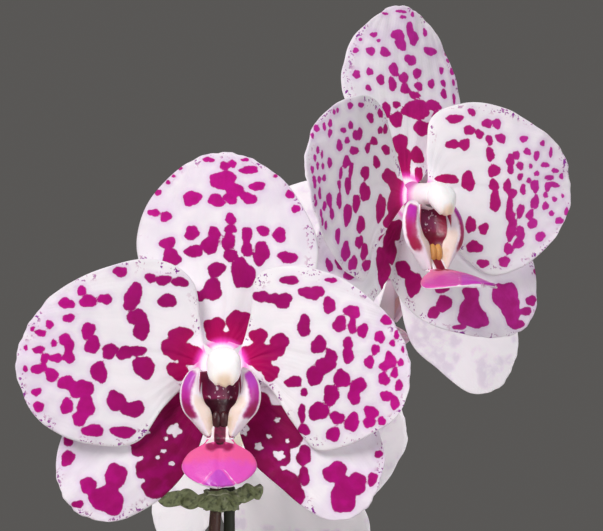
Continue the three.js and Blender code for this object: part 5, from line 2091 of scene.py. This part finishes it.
@dataclass
class Lip:
    """The three-lobed lip: a fleshy foot, two raised side lobes, a callus and a drooping front lobe."""

    size: float
    droop: float
    front_size: float = 1.0
    drop: float = 0.0
    detail: float = 1.0
    foot: Sequence[Point] = ((0, -3.6, 2.0), (0, -8.5, 4.6), (0, -13, 7.8), (0, -16.6, 10.6))
    lobe_inner: Sequence[Point] = (
        (1.6, -16.2), (1.8, -12.4), (2.4, -9.8), (3.6, -8.4), (4.3, -6.2), (4.4, -3.4), (4.2, -0.9))
    lobe_outer: Sequence[Point] = (
        (3.7, -16.4), (6.6, -13), (8.9, -10.2), (9.7, -7), (9.2, -3.4), (7.4, -0.7), (5.4, 0.2))
    midlobe: Sequence[Point] = (
        (3.2, -1.5), (3.6, 1.5), (7.6, 4), (8.9, 7), (7.4, 10.6), (3.8, 13.6), (0.3, 14.4))
    thickness: float = 0.8
    lobe_depth: float = 9.4
    lobe_cup: float = 1.4
    lobe_rim: float = 0.5
    lobe_lean: float = 2.2
    lobe_bow: float = 0.6
    front_y: float = -16.4
    front_z: float = 10.4
    front_arch: float = 0.028
    front_sag: float = 0.008
    callus: Point = (0.9, -12.4, 9.4)
    callus_radii: Point = (1.2, 2.2, 1.0)
    callus_ochre: float = 0.9

    def _count(self, full: int) -> int:
        """How many rows the lip's detail leaves of a full count."""
        return round(full * self.detail)

    def _scaled(self, points: Array) -> Array:
        """Points brought to the lip's size about its hinge, and hung lower in front.

        Args:
            points: The points of the lip at its plain size.

        Returns:
            The points at its true size.
        """
        hinge = self.foot[0][1]
        grown = points.copy()
        grown[..., 0] = points[..., 0] * self.size
        grown[..., 1] = hinge + (points[..., 1] - hinge) * self.size
        grown[..., 1] -= self.drop * ease(points[..., 2], 2.0, 7.0)
        return grown

    def _side_lobe(self, form: Form, side: int, to_world: Placing) -> None:
        """Adds one side lobe: white within, banded with colour outside.

        Args:
            form: The form that takes it.
            side: 1 for the right one, -1 for the left.
            to_world: Brings points from the bloom's frame to the plant's.
        """
        t = np.linspace(0, 1, self._count(64))[:, None]
        even = np.linspace(0, 1, self._count(34))
        v = lerp(even, 0.5 - 0.5 * np.cos(even * math.pi), 0.5)[None]
        inner = Course([(x, y, 0) for x, y in self.lobe_inner]).at(t[:, 0])[:, None]
        outer = Course([(x, y, 0) for x, y in self.lobe_outer]).at(t[:, 0])[:, None]
        flat = lerp(inner, outer, v[..., None])
        z = self.lobe_depth + self.lobe_cup * np.sin(math.pi * v) - self.lobe_rim * v * v
        z = z + self.lobe_bow * np.sin(math.pi * t) - self.lobe_lean * t * t
        edge = np.minimum(np.minimum(v, 1 - v) / 0.14, np.minimum(t, 1 - t) / 0.06)
        edge = np.clip(edge, 0, 1)
        half = self.thickness / 2 * (0.25 + 0.75 * np.sqrt(1 - (1 - edge) ** 2))
        x, y = side * flat[..., 0], flat[..., 1]
        front = to_world(self._scaled(np.stack([x, y, z + half], -1)))
        back = to_world(self._scaled(np.stack([x, y, z - half], -1)))
        inward = lerp(0.36, 0.5, ease(t, 0.9, 0.4))
        band = ease(v, inward - 0.12, inward + 0.24) * ease(v, 0.99, 0.88) * ease(t, 0.2, 0.38)
        values = {
            **blank(band),
            "magenta": band * ease(t, 0.97, 0.86),
            "crimson": band * ease(t, 0.8, 0.3) * 0.95,
            "violet": band * ease(t, 0.5, 0.85) * ease(t, 0.97, 0.86) * 0.8,
            "cream": ease(t, 0.8, 0.45) * ease(v, 0.7, 0.2),
            "yellow": ease(t, 0.5, 0.25) * ease(v, 0.6, 0.1) * 0.5,
        }
        form.sheet(front, back, values, values)

    def _throat(self, form: Form, to_world: Placing) -> None:
        """Adds the hollow between the side lobes, from the foot up to their inner edges.

        Args:
            form: The form that takes it.
            to_world: Brings points from the bloom's frame to the plant's.
        """
        t = np.linspace(0, 1, self._count(50))
        v = np.linspace(-1, 1, self._count(45))[None]
        neck = (2.9, self.lobe_inner[0][1] - 1.6)
        inner = Course([(x, y, 0) for x, y in (neck, *self.lobe_inner)]).at(t)[:, None]
        x = (inner[..., 0] + 0.5) * v
        y = inner[..., 1] + 0 * v
        foot = np.asarray(self.foot)
        low = np.interp(-y, -foot[:, 1], foot[:, 2]) + 1.0
        z = lerp(low, np.maximum(low + 0.2, self.lobe_depth + 0.1), np.abs(v) ** 2.6)
        half = self.thickness * 0.4
        front = to_world(self._scaled(np.stack([x, y, z + half], -1)))
        back = to_world(self._scaled(np.stack([x * 1.05, y, z - half], -1)))
        channel = ease(np.abs(x), 1.7, 1.1)
        flesh = lerp(channel, 1.0, ease(y, -12.6, -10.4))
        depth = ease(y, -6.2, -8.8) * lerp(1, 0.55, ease(-y, 12, 14))
        inside = {
            **blank(x),
            "cream": 0.45 + 0.0 * x,
            "crimson": flesh,
            # dark is painted shade, deepest in the middle of the hollow.
            "dark": flesh * ease(np.abs(v), 1.0, 0.8) * depth,
            # mauve marks the painted sheen, a reflection in the upper throat.
            "mauve": flesh * ease(np.abs(v), 0.95, 0.5) * ease(y, -8.8, -6.2) * 0.85,
        }
        form.sheet(front, back, inside, blank(x))

    def _front_lobe(self, form: Form, to_world: Placing) -> None:
        """Adds the front lobe: pink, with crimson at its neck and a violet wedge at its tip.

        Args:
            form: The form that takes it.
            to_world: Brings points from the bloom's frame to the plant's.
        """
        droop = math.radians(self.droop)
        even = np.linspace(0, 1, self._count(72))
        t = lerp(even, np.sin(even * math.pi / 2), 0.6)
        margin = Course([(x, y, 0) for x, y in self.midlobe]).at(t)[:, None]
        margin = margin * lerp(1.0, self.front_size, ease(margin[..., 1:2], 1.0, 5.0))
        v = np.linspace(-1, 1, self._count(61))
        v = lerp(v, np.sin(v * math.pi / 2), 0.5)[None]
        x = margin[..., 0] * v
        y = margin[..., 1] + 0 * v
        t = t[:, None]
        tip = self.midlobe[-1][1] * self.front_size
        rim = np.minimum((1 - np.abs(v)) * margin[..., 0], np.maximum(tip - y, 0) * 0.8 + 0.02)
        edge = np.clip(rim / 0.8, 0, 1)
        half = self.thickness / 2 * (0.2 + 0.8 * np.sqrt(1 - (1 - edge) ** 2))
        ruffle = 0.28 * np.sin(7 * v + 3 * t) * ease(rim, 3.0, 0.0) * ease(y, 2.0, 6.0)
        crease = -0.35 * np.exp(-((x / 0.7) ** 2)) * ease(y, 13.0, 5.0)

        def laid(lift: Array) -> Array:
            """The lobe's points.

            Args:
                lift: Their height over its middle surface.

            Returns:
                The points in the plant's frame.
            """
            drop = lift - self.front_arch * x * x - self.front_sag * y * y + ruffle + crease
            down = self.front_y - y * math.sin(droop) + drop * math.cos(droop)
            forward = self.front_z + y * math.cos(droop) + drop * math.sin(droop)
            return to_world(self._scaled(np.stack([x, down, forward], -1)))

        patch = np.exp(-(((np.abs(x) - 2.1) / 1.4) ** 2) - ((y - 3.9 + 0.3 * np.abs(x)) / 1.5) ** 2)
        slant = np.abs(x) - (y - 9.2) * 0.8
        wedge = ease(slant, 0.5, -0.5) * ease(y, 9.0, 10.4)
        gleam = np.exp(-(((slant - 0.7) / 0.45) ** 2)) * ease(y, 8.4, 10.0)
        gleam = gleam + np.exp(-((x / 0.18) ** 2)) * 0.4
        inside = lerp(0.5, 1.0, ease(rim, 0.02, 0.22))
        values = {
            **blank(x),
            "pink": inside * ease(y + 0.5 * np.abs(x), 1.6, 3.0) * (1 - 0.5 * gleam),
            "coral": ease(y, 11.0, 3.0),
            "crimson": patch * 1.1 * inside + ease(y, 4.2, 2.6) * ease(np.abs(x), 1.5, 0.8),
            "violet": wedge * inside * 0.85,
            # dark is painted shade in the channel at the neck.
            "dark": ease(y, 3.2, 1.8) * ease(np.abs(x), 1.2, 0.7),
        }
        beneath = {**blank(x), "pink": values["pink"] * 0.45}
        form.sheet(laid(half), laid(-half), values, beneath)

    def _hinge(self, form: Form, to_world: Placing) -> None:
        """Adds the fleshy foot that the lobes spring from.

        Args:
            form: The form that takes it.
            to_world: Brings points from the bloom's frame to the plant's.
        """
        share = np.linspace(0, 1, self._count(40))
        middle = Course(self.foot).at(share)
        heading = Course(self.foot).heading(share)
        across = np.array([1.0, 0.0, 0.0])
        up = np.cross(across, heading)
        angle = np.linspace(0, 2 * math.pi, self._count(28), endpoint=False)
        wide = lerp(1.8, 3.3, share)[:, None, None] * np.cos(angle)[None, :, None] * across
        high = lerp(0.9, 0.7, share)[:, None, None] * np.sin(angle)[None, :, None] * up[:, None]
        rings = to_world(self._scaled(middle[:, None] + wide + high))
        start = to_world(self._scaled(middle[0] - heading[0] * END_DOME * 0.9))
        end = to_world(self._scaled(middle[-1] + heading[-1] * END_DOME * 0.4))
        values = blank(np.zeros((len(share), len(angle))))
        values["cream"] = values["cream"] + 0.6 * ease(-np.sin(angle), -0.2, 0.3)[None]
        values["crimson"] = ease(-np.sin(angle), 0.0, 0.4)[None] * ease(share, 0.3, 0.5)[:, None]
        form.loft(rings, start, end, values)

    def _callus_half(self, form: Form, side: int, to_world: Placing) -> None:
        """Adds one half of the callus, a rounded lump.

        Args:
            form: The form that takes it.
            side: 1 for the right one, -1 for the left.
            to_world: Brings points from the bloom's frame to the plant's.
        """
        angle = np.linspace(0, 2 * math.pi, self._count(28), endpoint=False)
        polar = np.linspace(0, math.pi, self._count(22))[1:-1]
        middle = np.array(self.callus) * [side, 1.0, 1.0]
        radii = np.array(self.callus_radii)
        wide, pole = np.sin(polar)[:, None], -np.cos(polar)[:, None]
        ball = np.stack([wide * np.cos(angle), wide * np.sin(angle), pole + 0 * angle], -1)
        low, high = (middle + radii * [0.0, 0.0, way] for way in (-1, 1))
        rings, start, end = (to_world(self._scaled(part)) for part in (middle + radii * ball, low, high))
        values = blank(np.zeros(len(polar)))
        values["ochre"] = values["ochre"] + self.callus_ochre
        form.loft(rings, start, end, values)

    def form(self, to_world: Placing) -> Form:
        """The lip's mesh, with its colours kept at its points.

        Args:
            to_world: Brings points from the bloom's frame to the plant's.

        Returns:
            The form.
        """
        form = Form()
        self._hinge(form, to_world)
        for side in (1, -1):
            self._side_lobe(form, side, to_world)
        self._throat(form, to_world)
        self._front_lobe(form, to_world)
        for side in (1, -1):
            self._callus_half(form, side, to_world)
        return form


@dataclass
class Column:
    """The column: a short club with its rounded cap, its beak and the hollow beneath.

    Each row holds a depth, the half width, the top and the underside there.
    """

    detail: float = 1.0
    lift: float = 0.0
    beak: float = 1.0
    bluntness: float = 0.4
    rows: Sequence[Row] = (
        (0.4, 4.3, 4.2, -3.6),
        (2, 3.5, 3.7, -3.3),
        (4.6, 3.3, 3.8, -3.2),
        (6.6, 3.6, 4.2, -3.1),
        (7.6, 3.8, 4.4, -2.4),
        (9.4, 4.0, 4.5, -2.3),
        (10.6, 4.1, 4.3, -3.4),
        (12, 3.9, 3.6, -4.4),
        (13.2, 3.0, 2.3, -4.1),
        (13.9, 1.5, 0.7, -2.5),
    )
    sway: float = 0.085
    cap_from: float = 9.6
    beak_width: float = 0.75

    def form(self, to_world: Placing) -> Form:
        """The column's mesh, with its colours kept at its points.

        Args:
            to_world: Brings points from the bloom's frame to the plant's.

        Returns:
            The form.
        """
        count, sides = round(90 * self.detail), round(72 * self.detail)
        place = np.linspace(0, len(self.rows) - 1, count)
        z, half, top, under = (column[:, None] for column in through(self.rows, place).T)
        a = np.linspace(0, 2 * math.pi, sides, endpoint=False)[None]
        middle = np.minimum(top - 1, 0.3)
        low = ease(-np.sin(a), 0.0, 0.3)
        in_cap = ease(z, self.cap_from, self.cap_from + 1.4)
        blunt = 1 - self.bluntness * self.beak * in_cap * (0.55 + 0.45 * low)
        reach = np.where(np.sin(a) > 0, top - middle, middle - under)
        x = half * squared(np.cos(a), blunt)
        y = middle + reach * squared(np.sin(a), blunt)
        seam = np.exp(-(((z - self.cap_from) / 0.22) ** 2)) * ease(np.sin(a), -0.5, 0.1)
        furrow = np.exp(-((x / 0.35) ** 2)) * ease(z, 10.6, 12.4) * ease(np.sin(a), 0.2, 0.7)
        shrink = 1 - 0.045 * seam - 0.06 * furrow
        x, y = x * shrink, y * shrink
        tooth = np.exp(-(((np.abs(x) - 2.0) / 0.45) ** 2)) * 0.45
        point = self.beak * np.exp(-((x / self.beak_width) ** 2))
        y = y - (point + tooth) * in_cap * low * ease(z, 11.2, 12.4)
        depth = z + 0 * a

        def laid(x: Array, y: Array, depth: Array) -> Array:
            """The column's points, swayed aside and lifted with their depth.

            Args:
                x: Their x before it sways.
                y: Their y before it is lifted.
                depth: Their depth.

            Returns:
                The points in the plant's frame.
            """
            rise = self.lift * ease(depth, 2.0, 9.0)
            return to_world(np.stack([x + self.sway * depth, y + rise, depth], -1))

        first, last = self.rows[0], self.rows[-1]
        zero = np.zeros(1)
        start = laid(zero, zero + 0.2, zero + first[0] - 0.3)[0]
        end = laid(zero, zero + (last[2] + last[3]) / 2, zero + last[0] + 0.3)[0]
        slot = np.exp(-(((np.abs(x) - 0.9) / 0.3) ** 2)) * ease(y, -3.2, -1.6) * ease(y, 0.4, -0.6)
        values = {
            "base": ease(depth, 4.6, 1.6),
            "cap": ease(depth, 11.0, 13.0) * ease(y, 0.8, -3.8) * lerp(0.35, 1.0, np.exp(-((x / 1.9) ** 2))),
            "groove": slot * ease(depth, 12.9, 13.5) * 0.5 + 0.6 * ease(y, -4.2, -5.4) * in_cap,
            # Where painted shade darkens the hollow under the cap.
            "hollow": ease(y, -1.2, -2.0) * ease(depth, 7.0, 8.0) * ease(depth, 11.0, 10.0),
        }
        return Form().loft(laid(x, y, depth), start, end, values)


@dataclass
class Bloom:
    """One bloom with its five tepals, lip, column and pedicel."""

    name: str
    title: str
    stand: Stand
    markings: Mapping[str, Marking]
    finish: TepalFinish
    lip_finish: LipFinish
    droop: float
    node: float
    bends: Sequence[Point]
    scale: float = 1.0
    mirror: bool = False
    lip_size: float = 1.0
    grid: tuple[int, int] = (116, 92)
    detail: float = 0.9
    column_lift: float = 0.0
    beak: float = 1.0
    lip_drop: float = 0.0
    front_size: float = 1.0
    radius: float = 1.25
    neck: float = 1.7
    receptacle: float = 3.1
    stub: float = 1.5
    knob: Sequence[Point] = ((0, -0.6, -6), (0, 0, -3), (0, 0, 0.3))
    knob_start: float = 0.74
    knob_length: float = 0.12

    def _pedicel(self, spike: Spike) -> Form:
        """The stalk from the spike to the knob behind the claws.

        Args:
            spike: The spike that it leaves.

        Returns:
            The form.
        """
        joint = spike.course.at(self.node)
        side = spike.leaving(self.node, self.bends[0])
        reach = float(spike.radius(self.node)) + CLEARANCE + END_DOME * self.radius
        knob = self.stand.to_world(np.array(self.knob))
        course = Course([joint + side * reach, joint + side * (reach + self.stub), *self.bends, *knob])

        def size(t: Array) -> Array:
            """The stalk's radius at shares of its length."""
            stalk = lerp(self.radius, self.neck, np.minimum(1, t / self.knob_start))
            return lerp(stalk, self.receptacle, ease(t, self.knob_start, self.knob_start + self.knob_length))

        rings = 120
        return Form().tube(course, size, 26, rings, {"along": np.linspace(0, 1, rings)},
                           lambda t, a: 1 - 0.02 * np.abs(np.sin(3 * a)))

    def dress(self, spike: Spike, skins: "BloomSkins") -> None:
        """Builds the bloom.

        Args:
            spike: The spike that it hangs on.
            skins: The finishes that all blooms share.
        """
        petal_skin = self.finish.material()
        to_world = self.stand.to_world
        sign = -1 if self.mirror else 1
        for part, stance in STANCES.items():
            source = part
            if self.mirror and part != "dorsal_sepal":
                source = part.replace("left", "right") if "left" in part else part.replace("right", "left")
            tepal = Tepal(part, stance, self.markings[source], self.scale, sign, *self.grid)
            self._set_out(part, tepal.form(to_world), petal_skin)
        lip = Lip(self.lip_size, self.droop, self.front_size, self.lip_drop, self.detail)
        self._set_out("lip", lip.form(to_world), self.lip_finish.material())
        column = Column(self.detail, self.column_lift, self.beak)
        self._set_out("column", column.form(to_world), skins.column)
        self._set_out("pedicel", self._pedicel(spike), skins.pedicel)

    def _set_out(self, part: str, form: Form, material: bpy.types.Material) -> None:
        """Sets out one of the bloom's pieces in place of its solid.

        Args:
            part: The piece's plain name.
            form: Its mesh.
            material: Its finish.
        """
        set_out(form, f"{self.title}_{part}", material, [f"{self.name}_{part}"])


@dataclass
class BloomSkins:
    """Finishes that all blooms share."""

    column: bpy.types.Material
    pedicel: bpy.types.Material


@dataclass
class Bud:
    """A closed bud on its short stalk, with the seams of its sepals."""

    base: Point
    direction: Point
    length: float
    radius: float
    stalk_radius: float = 0.9
    stalk_taper: float = 0.4
    stalk_end: float = 0.22
    body_share: float = 0.8
    fullness: float = 0.6

    def form(self) -> Form:
        """The bud's mesh.

        Returns:
            The form.
        """
        start = np.asarray(self.base, float)
        way = unit(np.asarray(self.direction, float))
        course = Course([start, start + way * self.length * 0.5, start + way * self.length])

        def size(t: Array) -> Array:
            """The bud's radius.

            Args:
                t: Shares of its length, from the foot of its stalk.

            Returns:
                The radius at each.
            """
            place = np.clip((t - self.stalk_end) / self.body_share, 0, 1)
            body = self.radius * np.maximum(0, np.sin(math.pi * place)) ** self.fullness
            return np.maximum(self.stalk_radius * (1 - self.stalk_taper * t), body)

        def seams(t: Array, a: Array) -> Array:
            """The grooves between its three sepals, as a factor on its radius."""
            return 1 - 0.05 * np.exp(-((np.sin(1.5 * a) / 0.12) ** 2)) * ease(t, 0.25, 0.4)

        rings = 90
        return Form().tube(course, size, 48, rings, {"along": np.linspace(0, 1, rings)}, seams)


BUDS = (
    Bud((56.3, 49.2, 509.8), (0.45, 0.25, 1), length=17, radius=5.6),
    Bud((53.9, 45.7, 503), (0.3, -0.85, 0.75), length=11, radius=3.8),
)


# The studio


@dataclass(frozen=True)
class Lamp:
    """A soft square lamp: its name, its place, its side, its power in watts and its colour."""

    name: str
    place: Point
    size: float
    power: float
    colour: Point

    def hang(self, aim: Point) -> None:
        """Hangs the lamp.

        Args:
            aim: The point that it shines on.
        """
        data = bpy.data.lights.new(self.name, "AREA")
        data.size = self.size * MM
        data.energy = self.power
        data.color = self.colour
        lamp = bpy.data.objects.new(self.name, data)
        lamp.location = Vector(self.place) * MM
        lamp.rotation_euler = (Vector(aim) - Vector(self.place)).to_track_quat("-Z", "Y").to_euler()
        lamp.visible_camera = False
        bpy.context.scene.collection.objects.link(lamp)


@dataclass
class Studio:
    """A pale floor, a plain backdrop of light, soft lamps and the camera."""

    sight: Sight
    floor_radius: float = 2600
    floor_top: float = -0.4
    floor_depth: float = 20
    floor_edge: float = 4
    aim: Point = (20, 0, 465)
    backdrop: Colour = (0.1, 0.096, 0.092, 1)
    paper: Colour = tint(214, 212, 208)
    pale_paper: Colour = tint(222, 220, 216)
    lamps: Sequence[Lamp] = (
        Lamp("key_lamp", (-560, -980, 1330), 620, 16.6, (1.0, 0.985, 0.97)),
        Lamp("fill_lamp", (980, -1000, 700), 900, 6.5, (0.97, 0.985, 1.0)),
        Lamp("back_lamp", (420, 900, 1150), 500, 7, (1.0, 0.98, 0.95)),
    )
    nearest_shown: float = 10

    def dress(self) -> None:
        """Sets up floor, light and camera."""
        scene = bpy.context.scene
        world = bpy.data.worlds.new("studio_air")
        world.use_nodes = True
        world.node_tree.nodes["Background"].inputs["Color"].default_value = self.backdrop
        scene.world = world
        scene.view_settings.view_transform = "Standard"
        edge, bevel, top, low = self.floor_radius, self.floor_edge, self.floor_top, -self.floor_depth
        outline = [(0, low), (edge - bevel, low), (edge, low + bevel), (edge, -bevel), (edge - bevel, top),
                   (0, top)]
        floor = Form().turned(outline, 160).build("studio_floor", smooth=False)
        paint = Paint("floor_paper", Specular_IOR_Level=0.2)
        grain = paint.noise(3, 2)
        colour = paint.mix(grain, self.paper, self.pale_paper)
        floor.data.materials.append(paint.finish(colour, 0.9, grain, 0.1))
        for lamp in self.lamps:
            lamp.hang(self.aim)
        data = bpy.data.cameras.new("studio_camera")
        data.lens = self.sight.lens
        data.sensor_width = self.sight.sensor
        data.clip_start = self.nearest_shown * MM
        camera = bpy.data.objects.new("studio_camera", data)
        camera.location = Vector(self.sight.place) * MM
        camera.rotation_euler = (math.pi / 2, 0.0, 0.0)
        scene.collection.objects.link(camera)
        scene.camera = camera


def measured(markings: Mapping[str, Marking], sight: Sight, stand: Stand) -> dict[str, Marking]:
    """The patterns of a bloom's tepals in millimetres.

    Args:
        markings: The patterns as they were read from the photograph.
        sight: The camera of the photograph.
        stand: How the bloom stands that they were read from.

    Returns:
        The measured patterns, by tepal.
    """
    return {part: marking.measured(sight, stand, STANCES[part]) for part, marking in markings.items()}


def blooms(sight: Sight) -> list[Bloom]:
    """The four blooms, from the front one to the one low behind it.

    Args:
        sight: The camera of the photograph.

    Returns:
        The blooms.
    """
    front_stand = Stand((0.6, -28, 456.5), 0)
    upper_stand = Stand((49.9, 22, 499.6), 38)
    rear_stand = Stand((46.2, 67, 480.3), 188)
    lower_stand = Stand((3.1, 28, 434), 140)
    front_marks = measured(FRONT_MARKINGS, sight, front_stand)
    upper_marks = measured(UPPER_MARKINGS, sight, upper_stand)
    front = TepalFinish("front_petal_flesh", heart=tint(172, 3, 86), inner=tint(158, 4, 108),
                        outer=tint(194, 12, 142), dark=tint(122, 4, 64))
    upper = TepalFinish("upper_petal_flesh", heart=tint(178, 8, 96), inner=tint(182, 14, 118),
                        outer=tint(198, 44, 160), dark=tint(140, 8, 84))
    # The front lip's ochre is near-black: painted shade on the callus, which is ochre yellow on the upper
    # bloom's lip.
    lip_front = LipFinish("front_lip_flesh", pink=tint(232, 86, 196), coral=tint(240, 92, 158),
                          ochre=tint(62, 16, 26), dark=tint(56, 8, 26))
    lip_upper = LipFinish("upper_lip_flesh", pink=tint(216, 76, 176), coral=tint(234, 116, 172),
                          ochre=tint(222, 160, 88), dark=tint(126, 10, 50), magenta=tint(184, 18, 108),
                          crimson=tint(168, 8, 70), violet=tint(196, 44, 190))
    return [
        Bloom("bloom_a", "front_bloom", front_stand, front_marks, front, lip_front, droop=42, node=0.755,
              bends=((-3.6, -9, 441), (0, -18, 454)), column_lift=0.7),
        Bloom("bloom_b", "upper_bloom", upper_stand, upper_marks, upper, lip_upper, droop=4, node=0.885,
              bends=((37, 31, 489), (43.5, 29.5, 498)), lip_size=1.12, column_lift=-0.7, beak=0.3,
              lip_drop=1.8, front_size=1.2),
        Bloom("bloom_c", "rear_bloom", rear_stand, front_marks, upper, lip_upper, droop=30, node=0.935,
              bends=((47.5, 49.5, 487), (47.3, 57, 481.5)), scale=1.02, mirror=True, grid=(48, 40),
              detail=0.5),
        Bloom("bloom_d", "lower_bloom", lower_stand, upper_marks, front, lip_front, droop=25, node=0.735,
              bends=((-2.2, 11, 429), (-1.2, 18.5, 433)), scale=0.97, mirror=True, grid=(48, 40),
              detail=0.5),
    ]


def main() -> None:
    """Builds every piece in order, from the pot up, and then the studio."""
    logging.basicConfig(level=logging.INFO, format="%(message)s")
    sight = Sight()
    pot = Pot()
    crown = Crown()
    stake = Stake()
    bark = Bark(pot)
    pot.dress()
    bark.dress((crown.x, crown.y), (stake.x, stake.y))
    crown.dress(pot, bark.top)
    stake.dress()
    all_blooms = blooms(sight)
    spike = Spike([bloom.node for bloom in all_blooms])
    spike.dress([bloom.bends[0] for bloom in all_blooms])
    Tie(stake).dress()
    stalk = StemFinish("pedicel_skin", near=tint(176, 150, 158), far=tint(250, 244, 226),
                       speck=tint(214, 204, 180), amount=0.3)
    skins = BloomSkins(ColumnFinish().material(), stalk.material())
    for bloom in all_blooms:
        bloom.dress(spike, skins)
    bud_skin = StemFinish("bud_skin", near=tint(150, 158, 110), far=tint(206, 176, 196),
                          speck=tint(182, 120, 168)).material()
    for k, bud in enumerate(BUDS, 1):
        set_out(bud.form(), f"closed_bud_{k}", bud_skin, [f"bud_{k}"])
    Studio(sight).dress()


if __name__ == "__main__":
    main()
